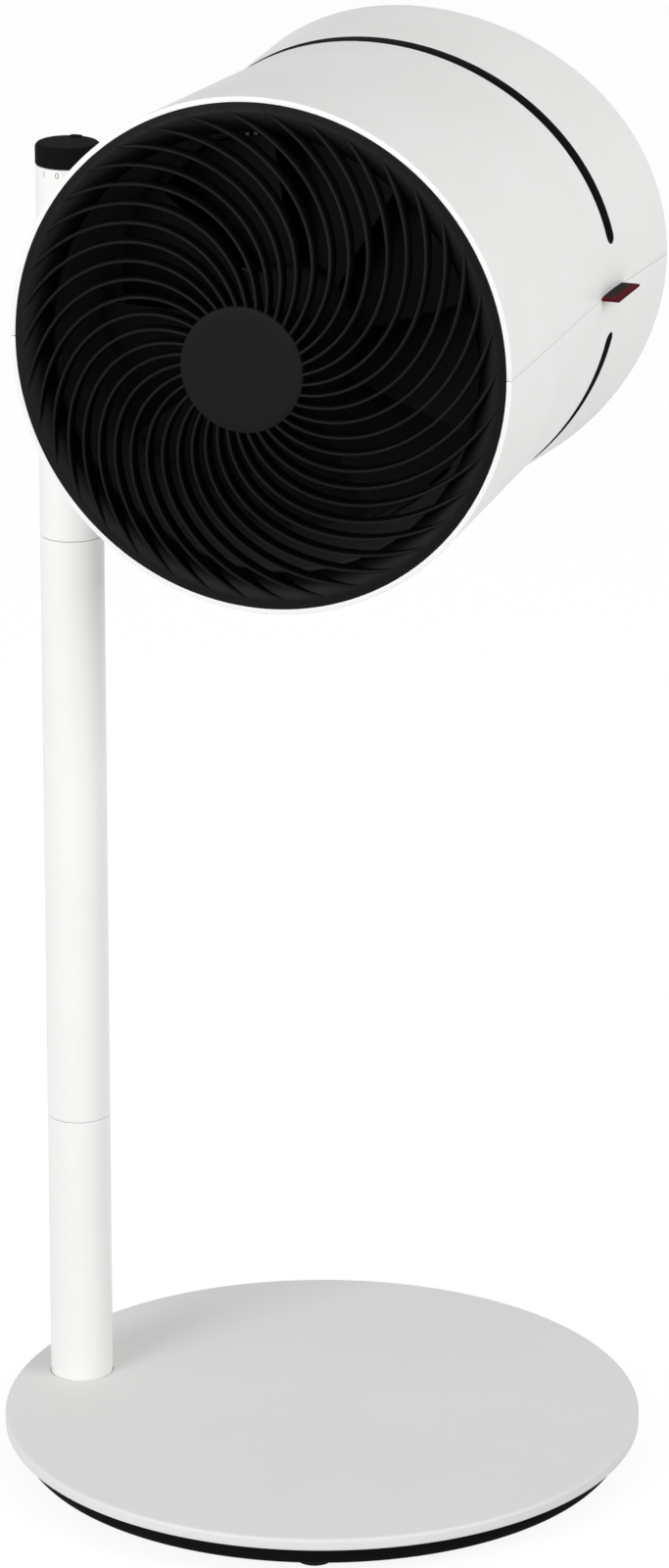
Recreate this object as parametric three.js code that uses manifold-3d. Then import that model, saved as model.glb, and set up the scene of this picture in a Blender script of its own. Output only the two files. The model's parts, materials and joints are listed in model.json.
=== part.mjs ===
// Air circulator fan: a drum-shaped fan head carried beside a slim column on a round floor stand.
//
// Millimetres, +Z up. The origin is on the floor under the centre of the round base. The column stands
// towards -X, and the fan head blows towards -Y, beside the column and over the middle of the base.
import * as THREE from 'three';
import { mergeVertices } from 'three/addons/utils/BufferGeometryUtils.js';
import Module from 'manifold-3d';

const wasm = await Module();
wasm.setup();
const radians = THREE.MathUtils.degToRad;
const lerp = THREE.MathUtils.lerp;

// ---------------------------------------------------------------- driving dimensions
// Clearances
const CLEARANCE = 0.3; // between two pieces that seat in or on each other
const RUNNING_GAP = 0.4; // radial gap at a shaft or spigot that turns
const OVERSHOOT = 1; // how far a cutter runs past the face that it opens
const JOIN_ROOT = 1; // how far a form runs into the one that it is joined to

// Base
const PLATE_RADIUS = 172.5;
const PLATE_THICKNESS = 6.4;
const PLATE_EDGE_CHAMFER = 0.8;
const PAN_HEIGHT = 16.5;
const PAN_BOTTOM_INSET = 20.7; // from the plate's edge in to the pan's
const PAN_TOP_INSET = 7.5;
const PAN_WALL = 2.2;
const FOOT_COUNT = 5;
const FOOT_RADIUS = 10;
const FOOT_HEIGHT = 3;
const FOOT_INSET = 32.5; // from the plate's edge to the middle of a foot, and of a pan screw
const PAN_SCREW_COUNT = 3;
const PAN_SCREW_FIRST_ANGLE = 36; // degrees, half way between two feet
const PAN_BOSS_RADIUS = 5.6;
const PAN_SCREW_RADIUS = 1.7;
const PAN_SCREW_HEAD_RADIUS = 3.4;
const PAN_SCREW_HEAD_HEIGHT = 2.2;
const PAN_SCREW_BITE = 3.6; // thread length in the plate
const INLET_WIDTH = 14;
const INLET_HEIGHT = 10;
const INLET_LENGTH = 18;
const INLET_BORE_RADIUS = 2.9;
const INLET_BORE_DEPTH = 10;
const INLET_PIN_RADIUS = 0.9;
const INLET_PIN_SETBACK = 1; // of the pin's tip from the inlet's face

// Column
const COLUMN_INSET = 31.8; // from the plate's edge to the column's axis
const TUBE_RADIUS = 17;
const TUBE_WALL = 1.8;
const PLATE_SOCKET_DEPTH = 2.4;
const LOWER_TUBE_LENGTH = 153.6;
const MIDDLE_TUBE_LENGTH = 329;
const POST_LENGTH = 201.6;
const FOOT_PLUG_LENGTH = 34;
const COLUMN_BOLT_RADIUS = 4;
const COLUMN_BOLT_HEAD_RADIUS = 7;
const COLUMN_BOLT_HEAD_HEIGHT = 5;
const COLUMN_BOLT_GRIP = 24;
const LEAD_RADIUS = 2; // of the supply lead inside the base and the column
const LEAD_HOLE_OFFSET = 10.6; // of the lead's holes from the column's axis
const LEAD_PLAY = 1; // round the lead in its holes
const LEAD_BEND = 24; // length of lead that a bend takes
const LEAD_RISE = 5; // from the lead's run under the plate to where it stands upright
const LEAD_END = 3; // from the swivel nut up to the lead's end below the board
const LEAD_STEPS = 32;
const LEAD_SIDES = 8;
const COUPLER_LENGTH = 70;
const COUPLER_WALL = 2.4;

// Swivel between the middle tube and the post
const SWIVEL_PLUG_LENGTH = 36;
const SWIVEL_SPIGOT_RADIUS = 11;
const SWIVEL_SPIGOT_LENGTH = 40;
const SWIVEL_BORE_RADIUS = 5;
const SWIVEL_BUSH_LENGTH = 33;
const SWIVEL_WASHER_THICKNESS = 1;
const SWIVEL_NUT_HEIGHT = 4.5;

// Speed knob on top of the post
const KNOB_RADIUS = 17.2;
const KNOB_HEIGHT = 11.1;
const KNOB_BEVEL = 1.6;
const KNOB_NUB_WIDTH = 7;
const KNOB_NUB_LENGTH = 3;
const KNOB_NUB_HEIGHT = 0.8;
const KNOB_BORE_DEPTH = 7;
const SWITCH_SHAFT_RADIUS = 3;
const SWITCH_BODY_RADIUS = 12;
const SWITCH_BODY_HEIGHT = 14;
const SWITCH_NECK_RADIUS = 5;
const SWITCH_NECK_HEIGHT = 7;
const POST_CAP_HEIGHT = 8;
const BOARD_LENGTH = 52;
const BOARD_THICKNESS = 1.6;
const BOARD_FOOT = 44; // from the swivel joint up to the board
const DRIVER_LENGTH = 13; // of the block of parts on the board
const DRIVER_WIDTH = 15;
const DRIVER_HEIGHT = 7;

// Tilt joint between the post and the head
const PIVOT_ABOVE_SWIVEL = 142.9;
const AXLE_RADIUS = 8;
const AXLE_BORE_RADIUS = 3;
const AXLE_ROOT = 6; // length of axle past the post's axis
const AXLE_END = 1; // length of axle past its nut
const ANCHOR_HEIGHT = 36;
const SADDLE_RADIUS = 13;
const SADDLE_THICKNESS = 1.7; // at the thinnest, against the post
const TILT_WASHER_THICKNESS = 1;
const BUSH_WALL = 1.7;
const BUSH_FLANGE_RADIUS = 13;
const BUSH_FLANGE_THICKNESS = 3.4;
const COLLAR_RADIUS = 15;
const HUB_PLATE_RADIUS = 18;
const HUB_PLATE_THICKNESS = 4.2;
const SPRING_WASHER_THICKNESS = 1.2;
const TILT_NUT_RADIUS = 11;
const TILT_NUT_THICKNESS = 4;

// Fan head: depths run back from the plane of the front rim, radii are from the head's axis
const HEAD_GAP = 7.44; // between the post and the shell's side, at the tilt joint
const PIVOT_DEPTH = 130;
const SHELL_FRONT_RADIUS = 133.6;
const SHELL_WAIST_RADIUS = 126.8;
const SHELL_REAR_RADIUS = 131.2;
const SHELL_WALL = 2.3;
const SHELL_LENGTH = 278; // at the sides
const SHELL_REAR_RISE = 32; // how much shorter the shell is at its top and bottom
const REAR_ROLL = 6; // rounding of the rear edge
const LIP_BEVEL = 0.6; // of the front edge
const SEAM_GAP = 0.3;
const SLOT_SETBACK = 84; // from the shell's rear edge forward to the slot's middle line, at the sides
const SLOT_RISE = 22; // how much further forward the slot lies at the top and bottom
const SLOT_WIDTH = 10;
const SLOT_END_ANGLE = 13; // degrees from the seam to the middle of the slot's rounded end
const WAIST_LEAD = 2.5; // from the waist line back to the slot's edge
const SHELL_BOSS_RADIUS = 4;
const SHELL_BOSS_HEIGHT = 13;
const SHELL_BOSS_ROOT = 1; // how far a boss runs into the wall
const SHELL_BOSS_DEPTH = 30; // of the front pair
const SHELL_BOSS_SETBACK = 65; // of the rear pair from the shell's rear edge
const SHELL_SCREW_RADIUS = 1.5;
const SHELL_SCREW_HEAD_RADIUS = 2.8;
const SHELL_SCREW_HEAD_HEIGHT = 2;
const TAG_LENGTH = 35;
const TAG_STAND_OUT = 10.5;
const TAG_ROOT = 6;
const TAG_THICKNESS = 1.6;
const TAG_LEAD = 8; // of the tag's middle from the slot's middle line, forward

// Front grille: a dome of spiral ribs from a plain disc out to a smooth rim
const GRILLE_DOME = 24;
const GRILLE_DOME_POWER = 1.5;
const GRILLE_DISC_RADIUS = 32.6;
const GRILLE_RIM_WIDTH = 12;
const GRILLE_RIM_DEPTH = 10;
const GRILLE_RIM_STEP = 1.8; // how far the rim's inner edge lies behind the ribs
const GRILLE_RIB_COUNT = 38;
const GRILLE_RIB_START = 0.65; // degrees, at the disc's edge
const GRILLE_RIB_TURN = 0.475; // degrees of sweep per mm of radius
const GRILLE_RIB_CURL = 0.00268; // degrees per mm squared
const GRILLE_RIB_THICKNESS = 1.7;
const GRILLE_RIB_DEPTH = 8.5;
const GRILLE_RIB_STATIONS = 7;
const GRILLE_RIB_OVERRUN = 5; // of a rib's end into the rim
const GRILLE_HUB_DEPTH = 11;
const CAP_THICKNESS = 2;
const CAP_CROWN = 0.4; // how far the disc's middle stands in front of its edge
const CAP_BEVEL = 0.8;
const CAP_PEG_RADIUS = 8;
const CAP_PEG_LENGTH = 6;

// Rear grille
const REAR_GRILLE_SETBACK = 14; // of its front from the shell's rear edge, where the shell is shortest
const REAR_GRILLE_THICKNESS = 8;
const REAR_GRILLE_RIM_WIDTH = 8;
const REAR_GRILLE_RIB_SETBACK = 0.5; // of a rib's edges from the grille's two faces
const REAR_GRILLE_HUB_RADIUS = 34;
const REAR_GRILLE_RIB_COUNT = 36; // between hub and ring, with one more between each two outside the ring
const REAR_GRILLE_RIB_THICKNESS = 1.8;
const REAR_GRILLE_RING_WIDTH = 2.4;
const REAR_GRILLE_RING_RADIUS = 76;
const REAR_GRILLE_SWEEP = 38; // degrees, of a rib from the hub to the rim
const REAR_SCREW_COUNT = 3;
const REAR_SCREW_RADIUS = 1.5;
const REAR_SCREW_HEAD_RADIUS = 2.8;
const REAR_SCREW_HEAD_HEIGHT = 1.8;
const REAR_SCREW_LENGTH = 11;

// Air duct, motor and impeller
const DUCT_ROOM = 16.5; // between the duct and the shell's waist, for the tilt joint's nut
const DUCT_WALL = 2;
const DUCT_THROAT_DEPTH = 48;
const DUCT_TAIL_LENGTH = 27; // of the duct's widening end, up to the rear grille
const DUCT_FLANGE_THICKNESS = 2.4;
const IMPELLER_DEPTH = 48;
const IMPELLER_HUB_RADIUS = 36;
const IMPELLER_HUB_LENGTH = 40;
const IMPELLER_NOSE_CHAMFER = 5;
const IMPELLER_BLADE_COUNT = 9;
const IMPELLER_TIP_GAP = 3.2;
const BLADE_ROOT_CHORD = 54;
const BLADE_TIP_CHORD = 96;
const BLADE_ROOT_PITCH = 42; // degrees out of the plane of rotation
const BLADE_TIP_PITCH = 22;
const BLADE_THICKNESS = 2.6;
const BLADE_ROOT = 2; // of a blade inside the hub
const BLADE_STATIONS = 5;
const SPINNER_RADIUS = 14;
const SPINNER_LENGTH = 9;
const SPINNER_BROW_RADIUS = 7.7;
const SPINNER_BROW_LENGTH = 1.3;
const SPINNER_CHEEK_RADIUS = 11.9;
const SPINNER_CHEEK_LENGTH = 4;
const SHAFT_RADIUS = 4;
const MOTOR_RADIUS = 33;
const MOTOR_LENGTH = 50;
const MOTOR_WALL = 2;
const MOTOR_STANDOFF = 6; // from the impeller's hub to the motor's front
const STATOR_BORE_RADIUS = 16;
const STATOR_LENGTH = 26;
const ROTOR_GAP = 0.8;
const BEARING_RADIUS = 9;
const BEARING_WIDTH = 6;
const SUPPORT_WALL = 2.2;
const SUPPORT_RING_LENGTH = 24;
const SUPPORT_VANE_COUNT = 9;
const SUPPORT_VANE_LENGTH = 30;
const SUPPORT_VANE_THICKNESS = 2.2;
const SUPPORT_VANE_LEAN = 16; // mm of turn along a vane, at its tip
const SUPPORT_VANE_TAPER = 6; // how much shorter a vane is at its tip
const SUPPORT_VANE_STATIONS = 3;

// Facets round a full turn
const FACETS_LARGE = 48;
const FACETS_TUBE = 24;
const FACETS_SMALL = 12;
const FACETS_SCREW = 8;
const NUT_SIDES = 6;

// ---------------------------------------------------------------- derived places
const panBottomRadius = PLATE_RADIUS - PAN_BOTTOM_INSET;
const panTopRadius = PLATE_RADIUS - PAN_TOP_INSET;
const footCircleRadius = PLATE_RADIUS - FOOT_INSET;
const plateBottom = FOOT_HEIGHT + PAN_HEIGHT;
const plateTop = plateBottom + PLATE_THICKNESS;
const socketFloor = plateTop - PLATE_SOCKET_DEPTH;
const lowerTubeBottom = socketFloor + CLEARANCE;
const lowerTubeTop = lowerTubeBottom + LOWER_TUBE_LENGTH;
const middleTubeBottom = lowerTubeTop + CLEARANCE;
const middleTubeTop = middleTubeBottom + MIDDLE_TUBE_LENGTH;
const postBottom = middleTubeTop + CLEARANCE;
const postTop = postBottom + POST_LENGTH;
const inletBottom = FOOT_HEIGHT + PAN_WALL + 2 * CLEARANCE;
const inletMiddle = inletBottom + INLET_HEIGHT / 2;
const inletFace = lerp(panBottomRadius, panTopRadius, (inletMiddle - FOOT_HEIGHT) / PAN_HEIGHT);
const inletBack = inletFace - INLET_LENGTH;
const tubeBore = TUBE_RADIUS - TUBE_WALL;
const plugRadius = tubeBore - CLEARANCE;
const swivelBushTop = postBottom + SWIVEL_BUSH_LENGTH;
const swivelWasherTop = swivelBushTop + CLEARANCE + SWIVEL_WASHER_THICKNESS;
const swivelNutTop = swivelWasherTop + CLEARANCE + SWIVEL_NUT_HEIGHT;
const pivotHeight = postBottom + PIVOT_ABOVE_SWIVEL;
const columnX = -(PLATE_RADIUS - COLUMN_INSET);
const leadHoleRadius = LEAD_RADIUS + LEAD_PLAY;
const waistBore = SHELL_WAIST_RADIUS - SHELL_WALL;
const grilleRadius = SHELL_FRONT_RADIUS - SHELL_WALL - CLEARANCE;
const domeRun = grilleRadius - GRILLE_DISC_RADIUS;
const ductOuterRadius = waistBore - DUCT_ROOM;
const ductBore = ductOuterRadius - DUCT_WALL;
const rearGrilleDepth = SHELL_LENGTH - SHELL_REAR_RISE - REAR_GRILLE_SETBACK;
const ductTailDepth = rearGrilleDepth - DUCT_TAIL_LENGTH;
const impellerTipRadius = ductBore - IMPELLER_TIP_GAP;
const motorFront = IMPELLER_DEPTH + IMPELLER_HUB_LENGTH + MOTOR_STANDOFF;
const shaftFront = IMPELLER_DEPTH - SPINNER_LENGTH / 2;

// ---------------------------------------------------------------- materials
const finish = (color, roughness, metalness = 0) =>
  new THREE.MeshStandardMaterial({ color, roughness, metalness });
const whitePaint = finish('#f1f1ef', 0.35);
const whitePlastic = finish('#ececea', 0.42);
const greyPlate = finish('#d4d4d2', 0.55);
const blackPlastic = finish('#1f1f20', 0.55);
const knobPlastic = finish('#2a2a2b', 0.5);
const rubber = finish('#1a1a1a', 0.85);
const steel = finish('#9a9c9f', 0.35, 1);
const castIron = finish('#4b4d50', 0.7, 0.8);
const copper = finish('#a8643a', 0.4, 1);
const bronze = finish('#b08a4e', 0.45, 0.9);
const nylon = finish('#d9d8d2', 0.6);
const boardGreen = finish('#1f4d36', 0.6);
const redWoven = finish('#6d2029', 0.8);

// ---------------------------------------------------------------- shape helpers
/** Welds a geometry's corners, drops its flat triangles and turns its faces outwards. */
function weld(geometry) {
  const bare = geometry.clone();
  bare.deleteAttribute('normal');
  bare.deleteAttribute('uv');
  const merged = mergeVertices(bare, 1e-4);
  const point = merged.attributes.position;
  const corners = [...merged.index.array];
  const kept = [];
  const a = new THREE.Vector3();
  const b = new THREE.Vector3();
  const c = new THREE.Vector3();
  let volume = 0;
  for (let i = 0; i < corners.length; i += 3) {
    const [p, q, r] = corners.slice(i, i + 3);
    if (p === q || q === r || r === p) {
      continue;
    }
    kept.push(p, q, r);
    a.fromBufferAttribute(point, p);
    b.fromBufferAttribute(point, q);
    c.fromBufferAttribute(point, r);
    volume += a.dot(b.cross(c));
  }
  merged.setIndex(volume < 0 ? kept.reverse() : kept);
  return merged;
}

/** A closed geometry as a solid that can be joined and cut. */
function solid(geometry) {
  const welded = weld(geometry);
  return new wasm.Manifold(
    new wasm.Mesh({
      numProp: 3,
      vertProperties: new Float32Array(welded.attributes.position.array),
      triVerts: new Uint32Array(welded.index.array),
    }),
  );
}

/** A solid back as a geometry with flat faces. */
function faceted(body) {
  const mesh = body.getMesh();
  const geometry = new THREE.BufferGeometry();
  geometry.setAttribute('position', new THREE.BufferAttribute(new Float32Array(mesh.vertProperties), 3));
  geometry.setIndex(new THREE.BufferAttribute(new Uint32Array(mesh.triVerts), 1));
  return geometry;
}

/** Joins solids. */
const join = (...bodies) => bodies.reduce((sum, body) => sum.add(body));

/** Takes the later solids out of the first. */
const cut = (first, ...others) => others.reduce((left, body) => left.subtract(body), first);

/** Turns a closed outline of [radius, height] points round the Z axis. */
function turned(outline, facets = FACETS_TUBE) {
  const points = outline.map(([radius, height]) => new THREE.Vector2(radius, height));
  points.push(points[0].clone());
  return new THREE.LatheGeometry(points, facets).rotateX(Math.PI / 2);
}

/** Turns a closed outline of [depth, radius] points round the head's axis. */
function turnedInHead(outline, facets = FACETS_LARGE) {
  const points = outline.map(([depth, radius]) => new THREE.Vector2(radius, depth - PIVOT_DEPTH));
  points.push(points[0].clone());
  return new THREE.LatheGeometry(points, facets);
}

/** An upright rod, or a sleeve when it has a bore. */
function rod(radius, bottom, top, facets = FACETS_TUBE, bore = 0) {
  return turned([[bore, bottom], [radius, bottom], [radius, top], [bore, top]], facets);
}

/** A rod or sleeve along the head's axis, between two depths. */
function rodInHead(radius, front, rear, facets = FACETS_TUBE, bore = 0) {
  return turnedInHead([[front, bore], [front, radius], [rear, radius], [rear, bore]], facets);
}

/** A rod or sleeve along the X axis, from one x to another. */
function rodAlongX(radius, from, to, facets = FACETS_SMALL, bore = 0) {
  return rod(radius, from, to, facets, bore).rotateY(Math.PI / 2);
}

/** A box between two opposite corners. */
function block([x0, y0, z0], [x1, y1, z1]) {
  const box = new THREE.BoxGeometry(x1 - x0, y1 - y0, z1 - z0);
  return box.translate((x0 + x1) / 2, (y0 + y1) / 2, (z0 + z1) / 2);
}

/** Skins a row of closed sections, all with the same number of corners, and closes both ends. */
function lofted(sections, flatSection) {
  const count = sections[0].length;
  const positions = sections.flat().flatMap((p) => [p.x, p.y, p.z]);
  const index = [];
  for (let i = 0; i + 1 < sections.length; i += 1) {
    for (let j = 0; j < count; j += 1) {
      const a = i * count + j;
      const b = i * count + ((j + 1) % count);
      index.push(a, b, b + count, a, b + count, a + count);
    }
  }
  const last = (sections.length - 1) * count;
  for (const [a, b, c] of THREE.ShapeUtils.triangulateShape(flatSection, [])) {
    const ahead = THREE.ShapeUtils.isClockWise(flatSection) ? [a, b, c] : [a, c, b];
    index.push(...ahead);
    index.push(...ahead.map((k) => last + k).reverse());
  }
  const geometry = new THREE.BufferGeometry();
  geometry.setAttribute('position', new THREE.Float32BufferAttribute(positions, 3));
  geometry.setIndex(index);
  return geometry;
}

/** The point at a radius, an angle from +X towards +Z and a depth behind the head's front plane. */
function headPoint(radius, angle, depth) {
  return new THREE.Vector3(radius * Math.cos(angle), depth - PIVOT_DEPTH, radius * Math.sin(angle));
}

/** A blade-like fin: at each station, a flat section of a thickness across its run and a depth. */
function fin(stations, thickness) {
  const square = [[0, 0], [1, 0], [1, 1], [0, 1]].map(([x, y]) => new THREE.Vector2(x, y));
  const sections = stations.map(({ radius, angle, front, rear }, i) => {
    const before = stations[Math.max(i - 1, 0)];
    const after = stations[Math.min(i + 1, stations.length - 1)];
    const run = headPoint(after.radius, after.angle, 0).sub(headPoint(before.radius, before.angle, 0));
    const side = new THREE.Vector3(-run.z, 0, run.x).setLength(thickness / 2);
    return [
      headPoint(radius, angle, front).sub(side),
      headPoint(radius, angle, front).add(side),
      headPoint(radius, angle, rear).add(side),
      headPoint(radius, angle, rear).sub(side),
    ];
  });
  return lofted(sections, square);
}

// ---------------------------------------------------------------- the shell's lines
/** Outer radius of the front cone of the shell at a depth and an angle round the head. */
function frontConeRadius(depth, angle) {
  return lerp(SHELL_FRONT_RADIUS, SHELL_WAIST_RADIUS, depth / waistDepth(angle));
}

/** Radius of a round piece that seats in the shell's front cone at a depth, where the cone is narrowest. */
function rimSeatRadius(depth) {
  return frontConeRadius(depth, Math.PI / 2) - SHELL_WALL - CLEARANCE;
}

/** Depth of the slot's middle line at an angle round the head. */
function slotDepth(angle) {
  return SHELL_LENGTH - SLOT_SETBACK - SLOT_RISE * Math.sin(angle) ** 2;
}

/** Depth of the waist line, just ahead of the slot. */
function waistDepth(angle) {
  return slotDepth(angle) - SLOT_WIDTH / 2 - WAIST_LEAD;
}

/** Depth of the shell's rear edge, an arc seen from the side. */
function rearDepth(angle) {
  return SHELL_LENGTH - SHELL_REAR_RISE * Math.sin(angle) ** 2;
}

/** Outer radius of the shell at a depth ahead of or behind the waist, at its sides unless told otherwise. */
function shellRadius(depth, angle = 0) {
  const waist = waistDepth(angle);
  if (depth < waist) {
    return frontConeRadius(depth, angle);
  }
  const behind = (depth - waist) / (rearDepth(angle) - REAR_ROLL - waist);
  return lerp(SHELL_WAIST_RADIUS, SHELL_REAR_RADIUS, behind);
}

const shellAtPivot = shellRadius(PIVOT_DEPTH);
const postAxis = -(shellAtPivot + HEAD_GAP + TUBE_RADIUS); // from the head's axis

// ---------------------------------------------------------------- scene graph
const fan = new THREE.Group();
const column = new THREE.Group();
column.position.set(columnX, 0, 0);
const head = new THREE.Group();
head.position.set(columnX - postAxis, 0, pivotHeight);
fan.add(column, head);

/** Adds a named piece to a group. */
function addPiece(group, name, shape, material) {
  const geometry = shape.isBufferGeometry ? weld(shape) : faceted(shape);
  const mesh = new THREE.Mesh(geometry, material);
  mesh.name = name;
  group.add(mesh);
  return mesh;
}

// ---------------------------------------------------------------- base
const footAngles = Array.from({ length: FOOT_COUNT }, (_, i) => (i * 2 * Math.PI) / FOOT_COUNT);
const panScrewAngles = Array.from(
  { length: PAN_SCREW_COUNT },
  (_, i) => radians(PAN_SCREW_FIRST_ANGLE) + (i * 2 * Math.PI) / PAN_SCREW_COUNT,
);
const onFootCircle = (shape, angle) =>
  shape.translate(footCircleRadius * Math.cos(angle), footCircleRadius * Math.sin(angle), 0);

function makeBasePlate() {
  const chamfer = PLATE_EDGE_CHAMFER;
  let plate = solid(turned([
    [0, plateBottom],
    [PLATE_RADIUS - chamfer, plateBottom],
    [PLATE_RADIUS, plateBottom + chamfer],
    [PLATE_RADIUS, plateTop - chamfer],
    [PLATE_RADIUS - chamfer, plateTop],
    [0, plateTop],
  ], FACETS_LARGE));
  const above = plateTop + OVERSHOOT;
  const below = plateBottom - OVERSHOOT;
  plate = cut(
    plate,
    solid(rod(TUBE_RADIUS + CLEARANCE, socketFloor, above).translate(columnX, 0, 0)),
    solid(rod(COLUMN_BOLT_RADIUS + CLEARANCE, below, above, FACETS_SMALL).translate(columnX, 0, 0)),
    solid(rod(leadHoleRadius, below, above, FACETS_SCREW).translate(columnX + LEAD_HOLE_OFFSET, 0, 0)),
  );
  for (const angle of panScrewAngles) {
    const top = plateBottom + PAN_SCREW_BITE + CLEARANCE;
    const hole = rod(PAN_SCREW_RADIUS + CLEARANCE, below, top, FACETS_SCREW);
    plate = cut(plate, solid(onFootCircle(hole, angle)));
  }
  addPiece(fan, 'base_plate', plate, greyPlate);
}

function makeBasePan() {
  const floorTop = FOOT_HEIGHT + PAN_WALL;
  const rimHeight = plateBottom - CLEARANCE;
  const wallSlope = (panTopRadius - panBottomRadius) / (rimHeight - FOOT_HEIGHT);
  let pan = solid(turned([
    [0, FOOT_HEIGHT],
    [panBottomRadius, FOOT_HEIGHT],
    [panTopRadius, rimHeight],
    [panTopRadius - PAN_WALL, rimHeight],
    [panBottomRadius - PAN_WALL + wallSlope * PAN_WALL, floorTop],
    [0, floorTop],
  ], FACETS_LARGE));
  const below = FOOT_HEIGHT - OVERSHOOT;
  const headRoom = FOOT_HEIGHT + PAN_SCREW_HEAD_HEIGHT + 2 * CLEARANCE;
  for (const angle of panScrewAngles) {
    const boss = rod(PAN_BOSS_RADIUS, FOOT_HEIGHT, rimHeight, FACETS_SMALL);
    const pocket = rod(PAN_SCREW_HEAD_RADIUS + CLEARANCE, below, headRoom, FACETS_SCREW);
    const hole = rod(PAN_SCREW_RADIUS + CLEARANCE, FOOT_HEIGHT, plateTop, FACETS_SCREW);
    pan = join(pan, solid(onFootCircle(boss, angle)));
    pan = cut(pan, solid(onFootCircle(pocket, angle)), solid(onFootCircle(hole, angle)));
  }
  const half = INLET_WIDTH / 2 + CLEARANCE;
  const window = block(
    [-half, panBottomRadius - PAN_WALL, floorTop + CLEARANCE],
    [half, panTopRadius + OVERSHOOT, floorTop + INLET_HEIGHT + 3 * CLEARANCE],
  );
  addPiece(fan, 'base_pan', cut(pan, solid(window)), blackPlastic);
}

function makeFeetAndPanScrews() {
  footAngles.forEach((angle, i) => {
    const foot = rod(FOOT_RADIUS, 0, FOOT_HEIGHT, FACETS_SMALL);
    addPiece(fan, `rubber_foot_${i + 1}`, onFootCircle(foot, angle), rubber);
  });
  const headBottom = FOOT_HEIGHT + CLEARANCE;
  const headTop = headBottom + PAN_SCREW_HEAD_HEIGHT;
  panScrewAngles.forEach((angle, i) => {
    const screw = turned([
      [0, headBottom],
      [PAN_SCREW_HEAD_RADIUS, headBottom],
      [PAN_SCREW_HEAD_RADIUS, headTop],
      [PAN_SCREW_RADIUS, headTop],
      [PAN_SCREW_RADIUS, plateBottom + PAN_SCREW_BITE],
      [0, plateBottom + PAN_SCREW_BITE],
    ], FACETS_SCREW);
    addPiece(fan, `pan_screw_${i + 1}`, onFootCircle(screw, angle), steel);
  });
}

function makePowerInlet() {
  const body = solid(block(
    [-INLET_WIDTH / 2, inletBack, inletBottom],
    [INLET_WIDTH / 2, inletFace, inletBottom + INLET_HEIGHT],
  ));
  const alongY = (radius, from, to) =>
    rod(radius, from, to, FACETS_SMALL).rotateX(-Math.PI / 2).translate(0, 0, inletMiddle);
  const boreEnd = inletFace - INLET_BORE_DEPTH;
  const bore = solid(alongY(INLET_BORE_RADIUS, boreEnd, inletFace + OVERSHOOT));
  const pin = solid(alongY(INLET_PIN_RADIUS, boreEnd - JOIN_ROOT, inletFace - INLET_PIN_SETBACK));
  addPiece(fan, 'power_inlet', join(cut(body, bore), pin), blackPlastic);
}

function makeSupplyLead() {
  const end = swivelNutTop + LEAD_END;
  const corners = [
    [0, inletBack - CLEARANCE, inletMiddle],
    [0, inletBack - LEAD_BEND, inletMiddle],
    [columnX + LEAD_HOLE_OFFSET, LEAD_BEND, inletMiddle],
    [columnX + LEAD_HOLE_OFFSET, 0, inletMiddle + LEAD_RISE],
    [columnX + LEAD_HOLE_OFFSET, 0, plateTop],
    [columnX + LEAD_HOLE_OFFSET, 0, lowerTubeBottom + FOOT_PLUG_LENGTH],
    [columnX, 0, middleTubeTop - SWIVEL_PLUG_LENGTH - LEAD_BEND],
    [columnX, 0, end - LEAD_BEND],
    [columnX, 0, end],
  ];
  const points = corners.map((corner) => new THREE.Vector3(...corner));
  const section = new THREE.Shape().absarc(0, 0, LEAD_RADIUS, 0, 2 * Math.PI);
  const tube = new THREE.ExtrudeGeometry(section, {
    extrudePath: new THREE.CatmullRomCurve3(points, false, 'centripetal'),
    steps: LEAD_STEPS,
    curveSegments: LEAD_SIDES / 2,
  });
  addPiece(fan, 'supply_lead', tube, blackPlastic);
}

// ---------------------------------------------------------------- column
function makeColumn() {
  const tube = (bottom, top) => rod(TUBE_RADIUS, bottom, top, FACETS_TUBE, tubeBore);
  addPiece(column, 'lower_tube', tube(lowerTubeBottom, lowerTubeTop), whitePaint);
  addPiece(column, 'middle_tube', tube(middleTubeBottom, middleTubeTop), whitePaint);

  const plugTop = lowerTubeBottom + FOOT_PLUG_LENGTH;
  const boltTip = plateBottom + COLUMN_BOLT_GRIP;
  const below = lowerTubeBottom - OVERSHOOT;
  const footPlug = cut(
    solid(rod(plugRadius, lowerTubeBottom, plugTop)),
    solid(rod(COLUMN_BOLT_RADIUS + CLEARANCE, below, boltTip + CLEARANCE, FACETS_SMALL)),
    solid(rod(leadHoleRadius, below, plugTop + OVERSHOOT, FACETS_SCREW).translate(LEAD_HOLE_OFFSET, 0, 0)),
  );
  addPiece(column, 'column_foot', footPlug, steel);

  const headTop = plateBottom - CLEARANCE;
  addPiece(column, 'column_bolt', turned([
    [0, headTop - COLUMN_BOLT_HEAD_HEIGHT],
    [COLUMN_BOLT_HEAD_RADIUS, headTop - COLUMN_BOLT_HEAD_HEIGHT],
    [COLUMN_BOLT_HEAD_RADIUS, headTop],
    [COLUMN_BOLT_RADIUS, headTop],
    [COLUMN_BOLT_RADIUS, boltTip],
    [0, boltTip],
  ], FACETS_SMALL), steel);

  const couplerBottom = lowerTubeTop - COUPLER_LENGTH / 2;
  const coupler = rod(plugRadius, couplerBottom, couplerBottom + COUPLER_LENGTH, FACETS_TUBE,
    plugRadius - COUPLER_WALL);
  addPiece(column, 'tube_coupler', coupler, nylon);
}

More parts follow.
